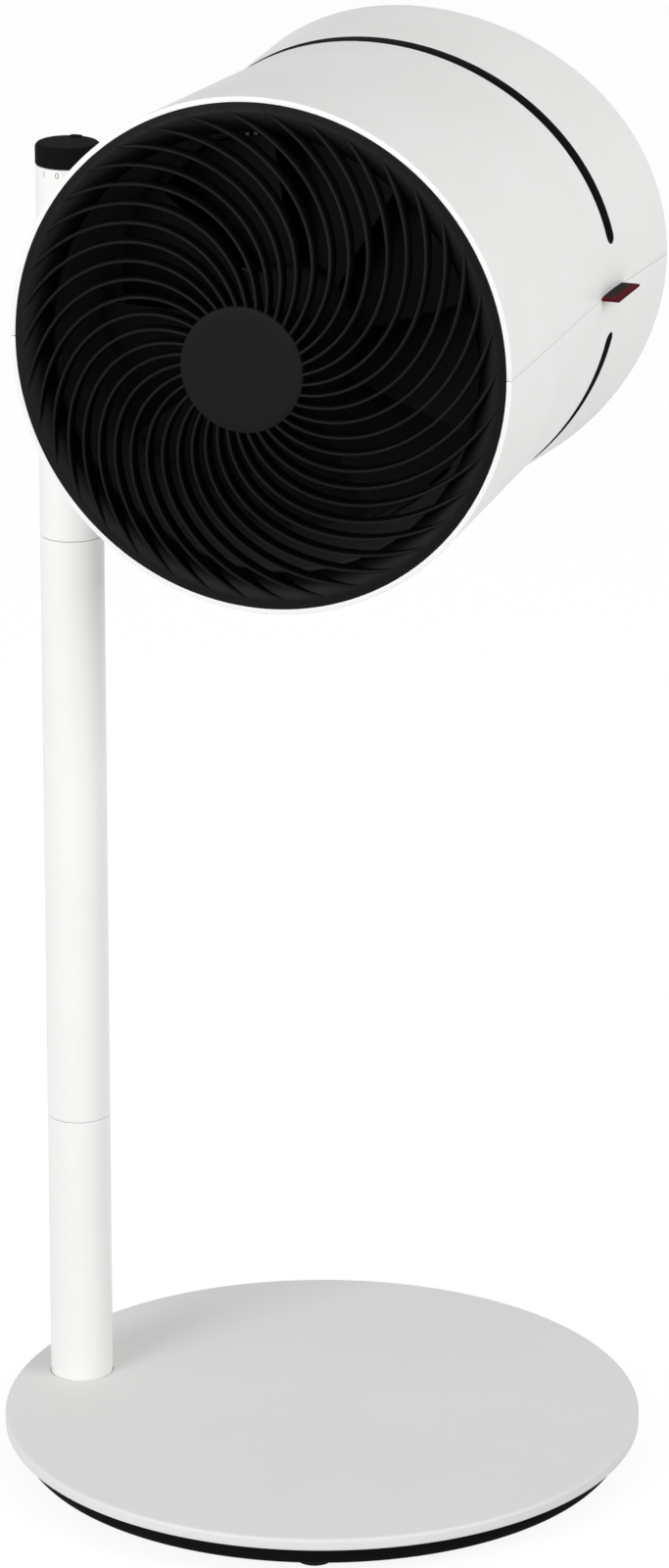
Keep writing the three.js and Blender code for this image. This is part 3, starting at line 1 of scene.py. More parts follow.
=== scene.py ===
"""A drum-shaped air circulator fan beside a slim column on a round base: its finishes and fine surfaces.

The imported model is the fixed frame. Sizes are in millimetres unless a name says otherwise, and a mesh is
turned to metres when it is made. Depths in the fan head run back from the plane of its front rim, and angles
round it start at +X and turn towards +Z.
"""

import json
import logging
import math
from collections.abc import Collection, Iterable, Sequence
from dataclasses import dataclass
from enum import Enum
from typing import Any

import bmesh
import bpy
from mathutils import Euler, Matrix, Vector


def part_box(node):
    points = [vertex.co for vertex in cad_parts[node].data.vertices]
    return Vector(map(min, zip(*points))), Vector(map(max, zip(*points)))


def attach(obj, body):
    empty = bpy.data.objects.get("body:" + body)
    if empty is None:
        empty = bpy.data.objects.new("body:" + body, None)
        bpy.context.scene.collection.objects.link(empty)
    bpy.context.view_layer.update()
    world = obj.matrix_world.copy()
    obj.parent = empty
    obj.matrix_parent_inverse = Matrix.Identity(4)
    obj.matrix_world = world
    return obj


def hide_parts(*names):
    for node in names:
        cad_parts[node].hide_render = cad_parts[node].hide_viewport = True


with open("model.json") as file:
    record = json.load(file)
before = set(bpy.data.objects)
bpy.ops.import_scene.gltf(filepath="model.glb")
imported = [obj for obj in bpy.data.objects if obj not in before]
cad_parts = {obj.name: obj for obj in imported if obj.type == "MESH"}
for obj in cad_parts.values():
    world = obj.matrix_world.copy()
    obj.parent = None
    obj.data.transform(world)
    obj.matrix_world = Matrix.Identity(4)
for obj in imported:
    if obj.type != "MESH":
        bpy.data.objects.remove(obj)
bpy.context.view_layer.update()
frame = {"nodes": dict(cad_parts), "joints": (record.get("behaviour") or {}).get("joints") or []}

log = logging.getLogger("fan")

MM = 0.001
DEGREE = math.radians(1.0)
Point = tuple[float, float, float]
Outline = Sequence[tuple[float, float]]


class Body(str, Enum):
    """The parts of the fan that move against each other."""

    BASE = "base"
    POST = "post"
    KNOB = "knob"
    HEAD = "head"
    IMPELLER = "impeller"


class Axis(Enum):
    """The way a turned piece's axis runs."""

    UP = "up"
    BACK = "back"


def millimetres(point: Iterable[float]) -> Vector:
    """The same point in millimetres."""
    return Vector(point) / MM


def joint(name: str) -> dict[str, Any]:
    """The joint of that name in the frame."""
    return next(entry for entry in frame["joints"] if entry["name"] == name)


def node_box(node: str) -> tuple[Vector, Vector]:
    """A node's lowest and highest corner, in millimetres."""
    low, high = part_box(node)
    return millimetres(low), millimetres(high)


# ------------------------------------------------------------------ where things are, from the frame
COLUMN_X = millimetres(joint("head_swivel")["pos_m"]).x
HEAD_CENTRE = millimetres(joint("impeller_spin")["pos_m"])
HEAD_FRONT = node_box("upper_shell")[0].y


def in_head(radius: float, angle: float, depth: float) -> Point:
    """A point of the fan head.

    Args:
        radius: distance from the head's axis.
        angle: turn round the axis from +X towards +Z, in radians.
        depth: distance behind the plane of the front rim.

    Returns:
        The point in the frame, in millimetres.
    """
    return (
        HEAD_CENTRE.x + radius * math.cos(angle),
        HEAD_FRONT + depth,
        HEAD_CENTRE.z + radius * math.sin(angle),
    )


HEAD_MIDDLE_M = Vector(in_head(0.0, 0.0, 0.0)) * MM


def numbered(stem: str, count: int) -> list[str]:
    """The names of like nodes, counted from one."""
    return [f"{stem}_{i}" for i in range(1, count + 1)]


# ------------------------------------------------------------------ nodes and finishes
# A Mix node's colour sockets, by place: its two inputs and its result.
MIX_FIRST, MIX_SECOND, MIX_RESULT = 6, 7, 2
# Nearly all of a noise's values lie between these.
NOISE_LOW, NOISE_HIGH = 0.3, 0.7
WHITE = (1.0, 1.0, 1.0, 1.0)


def linear(hex_colour: str) -> tuple[float, float, float, float]:
    """An sRGB hex colour as a linear colour with full alpha."""
    channels = [int(hex_colour[i : i + 2], 16) / 255 for i in (1, 3, 5)]
    return (*[c / 12.92 if c <= 0.04045 else ((c + 0.055) / 1.055) ** 2.4 for c in channels], 1.0)


def add_node(
    tree: bpy.types.NodeTree, kind: str, inputs: dict[int | str, Any] | None = None, **settings: Any
) -> bpy.types.Node:
    """Adds a node to a tree.

    Args:
        tree: the node tree.
        kind: the node's type name.
        inputs: values for the node's inputs, by name or place; a socket is linked.
        settings: the node's own settings.

    Returns:
        The new node.
    """
    node = tree.nodes.new(kind)
    for name, value in settings.items():
        setattr(node, name, value)
    for key, value in (inputs or {}).items():
        if isinstance(value, bpy.types.NodeSocket):
            tree.links.new(value, node.inputs[key])
        else:
            node.inputs[key].default_value = value
    return node


@dataclass(frozen=True)
class Finish:
    """A surface with an even colour that varies a little, a fine grain and a slightly uneven gloss."""

    name: str
    colour: str
    shade: str
    roughness: float
    grain_mm: float
    grain_depth_mm: float
    metallic: float = 0.0
    specular: float = 0.5
    roughness_spread: float = 0.05
    cloud_mm: float = 60.0
    stretch: tuple[float, float, float] = (1.0, 1.0, 1.0)

    def build(self) -> bpy.types.Material:
        """Makes the material, or finds it if it was made before.

        Returns:
            The node-based material.
        """
        made = bpy.data.materials.get(self.name)
        if made:
            return made
        material = bpy.data.materials.new(self.name)
        material.use_nodes = True
        tree = material.node_tree
        tree.nodes.clear()
        where = add_node(tree, "ShaderNodeTexCoord").outputs["Object"]
        shader = add_node(tree, "ShaderNodeBsdfPrincipled")
        shader.inputs["Metallic"].default_value = self.metallic
        shader.inputs["Specular IOR Level"].default_value = self.specular
        self.surface(tree, where, shader)
        add_node(tree, "ShaderNodeOutputMaterial", {"Surface": shader.outputs[0]})
        return material

    def surface(self, tree: bpy.types.NodeTree, where: Any, shader: bpy.types.Node) -> None:
        """Links colour, gloss and grain to the shader.

        Args:
            tree: the material's node tree.
            where: the socket of the object coordinates, in metres.
            shader: the Principled shader.
        """
        cloud = add_node(
            tree,
            "ShaderNodeTexNoise",
            {"Vector": where, "Scale": 1 / (self.cloud_mm * MM), "Detail": 3.0, "Roughness": 0.6},
        )
        colour = add_node(
            tree,
            "ShaderNodeMix",
            {
                "Factor": cloud.outputs["Fac"],
                MIX_FIRST: linear(self.colour),
                MIX_SECOND: linear(self.shade),
            },
            data_type="RGBA",
        )
        stretched = add_node(tree, "ShaderNodeMapping", {"Vector": where, "Scale": self.stretch})
        grain = add_node(
            tree,
            "ShaderNodeTexNoise",
            {"Vector": stretched.outputs[0], "Scale": 1 / (self.grain_mm * MM), "Detail": 2.0},
        )
        gloss = add_node(
            tree,
            "ShaderNodeMapRange",
            {
                "Value": cloud.outputs["Fac"],
                "From Min": NOISE_LOW,
                "From Max": NOISE_HIGH,
                "To Min": self.roughness - self.roughness_spread,
                "To Max": self.roughness + self.roughness_spread,
            },
        )
        bump = add_node(
            tree,
            "ShaderNodeBump",
            {"Height": grain.outputs["Fac"], "Distance": self.grain_depth_mm * MM, "Strength": 1.0},
        )
        tree.links.new(colour.outputs[MIX_RESULT], shader.inputs["Base Color"])
        tree.links.new(gloss.outputs[0], shader.inputs["Roughness"])
        tree.links.new(bump.outputs[0], shader.inputs["Normal"])


@dataclass(frozen=True)
class WovenRibbon(Finish):
    """A narrow woven ribbon: crossing threads that catch the light one by one."""

    thread_mm: float = 0.55
    unevenness: float = 0.4

    def surface(self, tree: bpy.types.NodeTree, where: Any, shader: bpy.types.Node) -> None:
        """Links the weave's colour and relief to the shader.

        Args:
            tree: the material's node tree.
            where: the socket of the object coordinates, in metres.
            shader: the Principled shader.
        """
        scale = 0.5 / (self.thread_mm * MM) / math.pi
        wave = {"Vector": where, "Scale": scale, "Distortion": self.unevenness}
        warp = add_node(tree, "ShaderNodeTexWave", wave, bands_direction="X").outputs["Fac"]
        weft = add_node(tree, "ShaderNodeTexWave", wave, bands_direction="Y").outputs["Fac"]
        weave = add_node(tree, "ShaderNodeMath", {0: warp, 1: weft}, operation="MULTIPLY")
        colour = add_node(
            tree,
            "ShaderNodeMix",
            {
                "Factor": weave.outputs[0],
                MIX_FIRST: linear(self.shade),
                MIX_SECOND: linear(self.colour),
            },
            data_type="RGBA",
        )
        bump = add_node(
            tree,
            "ShaderNodeBump",
            {"Height": weave.outputs[0], "Distance": self.grain_depth_mm * MM, "Strength": 1.0},
        )
        shader.inputs["Roughness"].default_value = self.roughness
        tree.links.new(colour.outputs[MIX_RESULT], shader.inputs["Base Color"])
        tree.links.new(bump.outputs[0], shader.inputs["Normal"])


# Moulded ABS, satin white: a faint spark-eroded grain keeps highlights soft on the head.
WHITE_ABS = Finish("white_abs_moulded", "#F1F1F0", "#ECECEA", 0.42, 0.5, 0.006)
# Steel tube, white polyester powder coat: the same white with a smoother, slightly rippled gloss.
WHITE_TUBE = Finish("white_powder_coat_tube", "#F4F4F3", "#EFEFED", 0.38, 1.6, 0.008)
# Steel plate, white fine-texture powder coat, given a touch of grey as painted shade, so that its up-facing
# top renders darker than the upright white surfaces: a matt, faintly pebbled top that scatters the light.
PLATE_COAT = Finish("plate_powder_coat", "#E6E6E5", "#E1E1E0", 0.55, 0.6, 0.02, cloud_mm=120)
# ABS, black, etched mould: matt, with a fine leather-like grain, on both grilles and the power inlet.
BLACK_ABS = Finish("black_abs_etched", "#09090A", "#0C0C0D", 0.5, 0.45, 0.012, specular=0.1)
# The same ABS on the disc, with a finer and shallower grain, so that it reads as one calm grey.
DISC_ABS = Finish("black_abs_disc", "#0A0A0B", "#0D0D0E", 0.55, 0.4, 0.01, specular=0.1)
# The ABS of the knob and the pan, sand-blasted mould: dull even where it is seen at a low angle.
KNOB_ABS = Finish("black_abs_knob", "#101011", "#131314", 0.8, 0.4, 0.01, specular=0.04)
# ABS, black, on the impeller: almost no gloss, so that the depth behind the grille stays near-black.
INNER_ABS = Finish("black_abs_inner", "#121213", "#151516", 0.7, 0.5, 0.01, specular=0.06)
# The duct's and the motor support's ABS, left rough, and painted a paler grey than black as painted light,
# so that the gaps between blades aren't void.
DUCT_ABS_PAINTED_LIGHT = Finish("black_abs_duct_painted_light", "#363637", "#3A3A3B", 0.75, 0.5, 0.01, specular=0.06)
# Painted shade on the slot's two walls, given as ABS in a dark grey rather than black, so that the slot
# reads as one dark line.
SLOT_PAINTED_SHADE = Finish("slot_painted_shade_grey", "#232324", "#272728", 0.6, 0.5, 0.01, specular=0.1)
# Moulded rubber: dull and slightly dusty.
RUBBER = Finish("black_rubber", "#141414", "#1C1C1B", 0.85, 0.3, 0.015, specular=0.3)
# Zinc-plated steel, turned: fine rings of tool marks.
ZINC_STEEL = Finish("zinc_plated_steel", "#A9ABAD", "#8F9194", 0.34, 0.12, 0.003, 1.0, stretch=(1, 1, 8))
# Pressed steel of the motor can, brushed lengthwise.
MOTOR_STEEL = Finish("motor_can_steel", "#8B8D90", "#77797C", 0.4, 0.2, 0.003, 1.0, stretch=(1, 6, 1))
# Sintered ferrite of the rotor: dark and porous.
FERRITE = Finish("rotor_ferrite", "#3A3B3D", "#2E2F31", 0.7, 0.4, 0.02, 0.6)
# Enamelled copper wire of the windings: fine ridges along the wire.
COPPER = Finish("enamelled_copper_wire", "#B4693A", "#8E4A26", 0.35, 0.35, 0.05, 1.0, stretch=(6, 1, 6))
# Bronze friction washer, rolled.
BRONZE = Finish("rolled_bronze", "#B08A4E", "#94713C", 0.42, 0.2, 0.004, 0.9, stretch=(1, 8, 1))
# Natural nylon, moulded: waxy off-white.
NYLON = Finish("natural_nylon", "#DCD9D0", "#D2CFC5", 0.48, 0.8, 0.006, specular=0.45)
# Glass-fibre circuit board with green solder mask: glossy over a faint weave.
BOARD = Finish("green_circuit_board", "#1F4D36", "#193F2C", 0.35, 0.6, 0.01)
# Woven polyester ribbon, dark red: matt threads, drawn about twice as coarse as real so that they show.
RED_RIBBON = WovenRibbon("red_woven_ribbon", "#7A1F2A", "#4C1119", 0.9, 0.5, 0.12, specular=0.08)
# The ribbon's inner field, woven in a greyed thread, left bare.
GREY_RIBBON = WovenRibbon("grey_woven_ribbon", "#3C3636", "#262122", 0.9, 0.5, 0.1, specular=0.08)
# Pad-printed marks under the knob: pale grey ink.
GREY_INK = Finish("grey_printed_ink", "#8A8A8A", "#848484", 0.6, 0.3, 0.001)


# ------------------------------------------------------------------ making meshes
SHARP_DEGREES = 32.0
MERGE_M = 1e-6


def linked(name: str, data: bpy.types.ID) -> bpy.types.Object:
    """A new object of the scene that holds some data.

    Args:
        name: the object's name.
        data: its mesh, lamp, camera or text.

    Returns:
        The new object, at the origin.
    """
    made = bpy.data.objects.new(name, data)
    bpy.context.scene.collection.objects.link(made)
    return made


def cover(mesh: bpy.types.Mesh, material: bpy.types.Material) -> None:
    """Gives a mesh that material alone."""
    mesh.materials.clear()
    mesh.materials.append(material)


def finished(
    name: str,
    corners: Iterable[Point],
    faces: Iterable[Sequence[int]],
    finish: Finish,
    sharp_degrees: float = SHARP_DEGREES,
) -> bpy.types.Object:
    """Makes an object from corners in millimetres, with its normals out and smooth but for sharp edges.

    Args:
        name: the piece's name.
        corners: its corners, in millimetres.
        faces: its faces, as places in the list of corners.
        finish: what it is made of.
        sharp_degrees: a sharper edge than this stays an edge.

    Returns:
        The new object, at the origin.
    """
    mesh = bpy.data.meshes.new(name)
    mesh.from_pydata([Vector(c) * MM for c in corners], [], [list(f) for f in faces])
    work = bmesh.new()
    work.from_mesh(mesh)
    bmesh.ops.remove_doubles(work, verts=work.verts, dist=MERGE_M)
    bmesh.ops.dissolve_degenerate(work, edges=work.edges, dist=MERGE_M / 10)
    bmesh.ops.recalc_face_normals(work, faces=work.faces)
    work.to_mesh(mesh)
    work.free()
    smooth(mesh, sharp_degrees)
    cover(mesh, finish.build())
    return linked(name, mesh)


def smooth(mesh: bpy.types.Mesh, sharp_degrees: float = SHARP_DEGREES) -> None:
    """Shades a mesh smooth and keeps its edges sharp past an angle."""
    mesh.shade_smooth()
    mesh.set_sharp_from_angle(angle=math.radians(sharp_degrees))


def bevel(made: bpy.types.Object, width_mm: float, degrees: float = 40.0) -> None:
    """Rounds a piece's sharp edges and applies the rounding.

    Args:
        made: the piece.
        width_mm: width of the rounding.
        degrees: an edge that turns by more than this is rounded.
    """
    rounding = made.modifiers.new("rounding", "BEVEL")
    rounding.width = width_mm * MM
    rounding.segments = 2
    rounding.limit_method = "ANGLE"
    rounding.angle_limit = math.radians(degrees)
    rounding.use_clamp_overlap = True
    bake(made)


def bake(made: bpy.types.Object) -> None:
    """Applies a piece's modifiers, so that it ends as a plain mesh.

    Args:
        made: the piece.
    """
    depsgraph = bpy.context.evaluated_depsgraph_get()
    mesh = bpy.data.meshes.new_from_object(made.evaluated_get(depsgraph), depsgraph=depsgraph)
    made.modifiers.clear()
    made.data = mesh
    smooth(mesh)


def carve(made: bpy.types.Object, cutter: bpy.types.Object) -> None:
    """Takes a cutter out of a piece and deletes it.

    Args:
        made: the piece.
        cutter: what is taken out of it.
    """
    carving = made.modifiers.new("carving", "BOOLEAN")
    carving.object = cutter
    carving.operation = "DIFFERENCE"
    carving.solver = "EXACT"
    bake(made)
    bpy.data.objects.remove(cutter)


def arc(centre: tuple[float, float], radius: float, start: float, end: float, steps: int = 5) -> Outline:
    """Points on an arc of an outline, from one angle to another, in degrees."""
    angles = [math.radians(a) for a in span(start, end, steps)]
    return [(centre[0] + radius * math.cos(a), centre[1] + radius * math.sin(a)) for a in angles]


def span(start: float, end: float, steps: int) -> list[float]:
    """Even steps from one value to another, with both ends."""
    return [start + (end - start) * i / steps for i in range(steps + 1)]


def circle(count: int) -> list[float]:
    """Even turns round a full circle, in radians."""
    return [step * math.tau / count for step in range(count)]


def quad(first: int, along: int, across: int) -> Sequence[int]:
    """A face from the place of its first corner and the steps to its two neighbours."""
    return (first, first + along, first + along + across, first + across)


def grid(rings: int, count: int, shut: bool = False) -> list[Sequence[int]]:
    """Faces between closed rings of corners that follow one another in a list.

    Args:
        rings: how many rings there are.
        count: corners in a ring.
        shut: whether the last ring joins the first.

    Returns:
        The faces, as places in the list of corners.
    """
    faces: list[Sequence[int]] = []
    for ring in range(rings if shut else rings - 1):
        here, ahead = ring * count, (ring + 1) % rings * count
        for i in range(count):
            j = (i + 1) % count
            faces.append((here + i, here + j, ahead + j, ahead + i))
    return faces


def double_skin(
    columns: int, rows: int, slotted: Collection[int] = (), slot_row: int = -1
) -> list[Sequence[int]]:
    """Faces of a sheet with an outer and an inner skin, whose corners follow one another column by column.

    Args:
        columns: columns of corners in a skin.
        rows: corners in a column.
        slotted: columns after which the sheet is open.
        slot_row: the row past which it is open there.

    Returns:
        The faces, as places in the list of corners.
    """
    total = columns * rows
    faces: list[Sequence[int]] = []
    for column in range(columns - 1):
        first = column * rows
        slot = [slot_row, slot_row + 1] if column in slotted else []
        for row in range(rows - 1):
            if row not in slot[:1]:
                faces += [quad(first + row, 1, rows), quad(total + first + row, 1, rows)]
        faces += [quad(first + row, rows, total) for row in (0, rows - 1, *slot)]
    for column in (0, columns - 1):
        faces += [quad(column * rows + row, 1, total) for row in range(rows - 1)]
    return faces


def turned(
    name: str,
    outline: Outline,
    finish: Finish,
    axis: Axis = Axis.UP,
    centre: tuple[float, float] = (0.0, 0.0),
    segments: int = 128,
) -> bpy.types.Object:
    """Turns a closed outline round an axis.

    Args:
        name: the piece's name.
        outline: [radius, height] points, or [radius, depth] in the head; the outline closes on itself.
        finish: what the piece is made of.
        axis: up, through a point of the floor, or back, along the head's axis.
        centre: where an upright axis meets the floor.
        segments: steps round the full turn.

    Returns:
        The new object.
    """
    corners: list[Point] = []
    for angle in circle(segments):
        for radius, height in outline:
            if axis is Axis.BACK:
                corners.append(in_head(radius, angle, height))
            else:
                x = centre[0] + radius * math.cos(angle)
                corners.append((x, centre[1] + radius * math.sin(angle), height))
    return finished(name, corners, grid(segments, len(outline), shut=True), finish)


def block(name: str, low: Vector, high: Vector, finish: Finish) -> bpy.types.Object:
    """Makes a plain block.

    Args:
        name: the piece's name.
        low: its lowest corner.
        high: its highest corner.
        finish: what it is made of.

    Returns:
        The new object.
    """
    ring = ((low.x, low.y), (high.x, low.y), (high.x, high.y), (low.x, high.y))
    corners = [(x, y, z) for z in (low.z, high.z) for x, y in ring]
    return finished(name, corners, [(0, 3, 2, 1), (4, 5, 6, 7), *grid(2, 4)], finish)


# ------------------------------------------------------------------ placing and dressing pieces
def place(made: bpy.types.Object, body: Body, node: str = "") -> None:
    """Lets a piece ride on a body, and stand for a CAD node where one is named.

    Args:
        made: the piece.
        body: the body that it moves with.
        node: the CAD node that it stands for.
    """
    if node:
        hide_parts(node)
    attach(made, body.value)
    log.info("%s: %s", body.value, made.name)


def refine(node: str, finish: Finish, body: Body, round_mm: float) -> None:
    """Makes a smooth-shaded copy of a node's solid, with its edges rounded, that stands for it.

    Args:
        node: the node's name.
        finish: what the piece is made of.
        body: the body that it moves with.
        round_mm: width of the rounding on its edges.
    """
    mesh = frame["nodes"][node].data.copy()
    work = bmesh.new()
    work.from_mesh(mesh)
    bmesh.ops.remove_doubles(work, verts=work.verts, dist=MERGE_M)
    flat = math.radians(0.5)
    bmesh.ops.dissolve_limit(work, angle_limit=flat, verts=work.verts, edges=work.edges, delimit={"NORMAL"})
    work.to_mesh(mesh)
    work.free()
    cover(mesh, finish.build())
    smooth(mesh)
    copy = linked(f"{node}_finish", mesh)
    bevel(copy, round_mm)
    place(copy, body, node)


def dress(nodes: Iterable[str], finish: Finish) -> None:
    """Gives CAD nodes a finish."""
    for node in nodes:
        cover(frame["nodes"][node].data, finish.build())


# ------------------------------------------------------------------ node trees that repeat a shape
SEED_CORNERS: Sequence[Point] = ((0, 0, 0), (1, 0, 0), (0, 1, 0))
SEED_FACES: Sequence[Sequence[int]] = ((0, 1, 2),)
RIB_ROUND = 0.7


class Repeater:
    """A geometry node tree with named inputs, which a piece takes as a modifier and is then baked."""

    def __init__(self, name: str, **kinds: str) -> None:
        """Starts a tree with a geometry input and output, its named inputs and a material.

        Args:
            name: the tree's name.
            kinds: the kind of value that each named input takes.
        """
        self.tree = bpy.data.node_groups.new(name, "GeometryNodeTree")
        self.identifiers: dict[str, str] = {}
        for way in ("INPUT", "OUTPUT"):
            self.tree.interface.new_socket(name="Geometry", in_out=way, socket_type="NodeSocketGeometry")
        for key, kind in {**kinds, "Material": "Material"}.items():
            kind = f"NodeSocket{kind}"
            socket = self.tree.interface.new_socket(name=key, in_out="INPUT", socket_type=kind)
            self.identifiers[key] = socket.identifier
        self.given = add_node(self.tree, "NodeGroupInput").outputs

    def around(self, piece: Any, axis: Any, step: Any, centre: Any = (0.0, 0.0, 0.0)) -> Any:
        """Copies a piece at even turns round an axis, as often as the input Count says.

        Args:
            piece: the piece's geometry, placed as if the axis ran through the origin.
            axis: the axis's direction.
            step: turn from one copy to the next, in radians.
            centre: a point on the axis.

        Returns:
            The socket of the copies.
        """
        places = add_node(
            self.tree,
            "GeometryNodeMeshLine",
            {"Count": self.given["Count"], "Start Location": centre, "Offset": (0.0, 0.0, 0.0)},
        )
        index = add_node(self.tree, "GeometryNodeInputIndex")
        turn = add_node(self.tree, "ShaderNodeMath", {0: index.outputs[0], 1: step}, operation="MULTIPLY")
        rotation = add_node(
            self.tree, "FunctionNodeAxisAngleToRotation", {"Axis": axis, "Angle": turn.outputs[0]}
        )
        return add_node(
            self.tree,
            "GeometryNodeInstanceOnPoints",
            {"Points": places.outputs[0], "Instance": piece, "Rotation": rotation.outputs[0]},
        ).outputs[0]

    def end(self, copies: Any) -> None:
        """Ends the tree: instances become real and take their material.

        Args:
            copies: the geometry that the tree has made.
        """
        real = add_node(self.tree, "GeometryNodeRealizeInstances", {0: copies})
        dressed = add_node(
            self.tree,
            "GeometryNodeSetMaterial",
            {"Geometry": real.outputs[0], "Material": self.given["Material"]},
        )
        add_node(self.tree, "NodeGroupOutput", {0: dressed.outputs[0]})

    def apply(self, made: bpy.types.Object, finish: Finish, **values: Any) -> bpy.types.Object:
        """Runs the tree on a piece and leaves a plain mesh.

        Args:
            made: the piece that the tree starts from.
            finish: what the result is made of.
            values: a value for each named input.

        Returns:
            The same piece with its new mesh.
        """
        modifier = made.modifiers.new(self.tree.name, "NODES")
        modifier.node_group = self.tree
        for name, value in {**values, "Material": finish.build()}.items():
            modifier[self.identifiers[name]] = value
        bake(made)
        return made


class AroundAxis(Repeater):
    """Copies of one piece at even turns round an axis."""

    def __init__(self) -> None:
        """Builds the tree."""
        super().__init__("around_axis", Count="Int", Centre="Vector", Axis="Vector", Step="Float")
        centre = self.given["Centre"]
        inward = add_node(self.tree, "ShaderNodeVectorMath", {0: centre, "Scale": -1.0}, operation="SCALE")
        piece = add_node(
            self.tree,
            "GeometryNodeTransform",
            {"Geometry": self.given["Geometry"], "Translation": inward.outputs[0]},
        )
        self.end(self.around(piece.outputs[0], self.given["Axis"], self.given["Step"], centre))


class SpiralRibs(Repeater):
    """Fins that run outwards from a disc, sweep round as they go and follow a dome."""

    # The steps from the share of a rib's length, 0 to 1, to a point on it: each has its name, what is done,
    # and the inputs, earlier steps or numbers that it is done to.
    STEPS: Sequence[tuple[Any, ...]] = (
        ("reach", "SUBTRACT", "Outer", "Inner"),
        ("radius", "MULTIPLY_ADD", "share", "reach", "Inner"),
        ("past disc", "SUBTRACT", "radius", "Disc"),
        ("curl", "MULTIPLY_ADD", "Curl", "past disc", "Turn"),
        ("angle", "MULTIPLY_ADD", "curl", "past disc", "Start"),
        ("outside disc", "MAXIMUM", "past disc", 0.0),
        ("share of run", "DIVIDE", "outside disc", "Run"),
        ("fall", "POWER", "share of run", "Power"),
        ("share of dome", "SUBTRACT", 1.0, "fall"),
        ("crest", "MULTIPLY", "share of dome", "Dome"),
        ("middle", "MULTIPLY_ADD", "Depth", -0.5, "crest"),
        ("z", "SUBTRACT", "middle", "Setback"),
        ("cosine", "COSINE", "angle"),
        ("sine", "SINE", "angle"),
        ("x", "MULTIPLY", "radius", "cosine"),
        ("y", "MULTIPLY", "radius", "sine"),
        ("step", "DIVIDE", math.tau, "Count"),
    )
    LENGTHS: Sequence[str] = (
        "Inner", "Outer", "Disc", "Dome", "Run", "Thickness", "Depth", "Rounding", "Setback"
    )
    OTHERS: Sequence[str] = ("Start", "Turn", "Curl", "Power")

    def __init__(self) -> None:
        """Builds the tree, with the dome's axis along +Z and its depths downwards."""
        numbers = dict.fromkeys([*self.LENGTHS, *self.OTHERS], "Float")
        super().__init__("spiral_ribs", Count="Int", Stations="Int", Centre="Vector", **numbers)
        tree, given = self.tree, self.given
        line = add_node(tree, "GeometryNodeCurvePrimitiveLine", {"End": (1.0, 0.0, 0.0)})
        path = add_node(
            tree, "GeometryNodeResampleCurve", {"Curve": line.outputs[0], "Count": given["Stations"]}
        )
        along = add_node(tree, "GeometryNodeInputPosition")
        known = {key: given[key] for key in ("Count", *numbers)}
        known["share"] = add_node(tree, "ShaderNodeSeparateXYZ", {0: along.outputs[0]}).outputs[0]
        for result, operation, *terms in self.STEPS:
            values = {i: known[t] if isinstance(t, str) else t for i, t in enumerate(terms)}
            known[result] = add_node(tree, "ShaderNodeMath", values, operation=operation).outputs[0]
        point = add_node(tree, "ShaderNodeCombineXYZ", {i: known[key] for i, key in enumerate("xyz")})
        bent = add_node(
            tree, "GeometryNodeSetPosition", {"Geometry": path.outputs[0], "Position": point.outputs[0]}
        )
        upright = add_node(tree, "GeometryNodeSetCurveNormal", {"Curve": bent.outputs[0]}, mode="Z_UP")
        section = add_node(
            tree,
            "GeometryNodeCurvePrimitiveQuadrilateral",
            {"Width": given["Thickness"], "Height": given["Depth"]},
        )
        rounded = add_node(
            tree,
            "GeometryNodeFilletCurve",
            {"Curve": section.outputs[0], "Radius": given["Rounding"], "Count": 3},
            mode="POLY",
        )
        fin = add_node(
            tree,
            "GeometryNodeCurveToMesh",
            {"Curve": upright.outputs[0], "Profile Curve": rounded.outputs[0], "Fill Caps": True},
        )
        ribs = self.around(fin.outputs[0], (0.0, 0.0, 1.0), known["step"])
        real = add_node(tree, "GeometryNodeRealizeInstances", {0: ribs})
        facing = Euler((math.pi / 2, 0.0, 0.0))
        laid = add_node(
            tree,
            "GeometryNodeTransform",
            {"Geometry": real.outputs[0], "Translation": given["Centre"], "Rotation": facing},
        )
        self.end(laid.outputs[0])

    def make(self, name: str, count: int, stations: int, **sizes: float) -> bpy.types.Object:
        """Makes one ring of ribs round the head's axis.

        Args:
            name: the piece's name.
            count: how many ribs there are.
            stations: points along a rib.
            sizes: the tree's other inputs, with lengths in millimetres and angles in degrees.

        Returns:
            The new object.
        """
        units = {**dict.fromkeys(self.LENGTHS, MM), "Power": 1.0}
        units |= {"Start": DEGREE, "Turn": DEGREE / MM, "Curl": DEGREE / MM**2}
        scaled = {key: size * units[key] for key, size in sizes.items()}
        seed = finished(name, SEED_CORNERS, SEED_FACES, BLACK_ABS)
        return self.apply(seed, BLACK_ABS, Count=count, Stations=stations, Centre=HEAD_MIDDLE_M, **scaled)


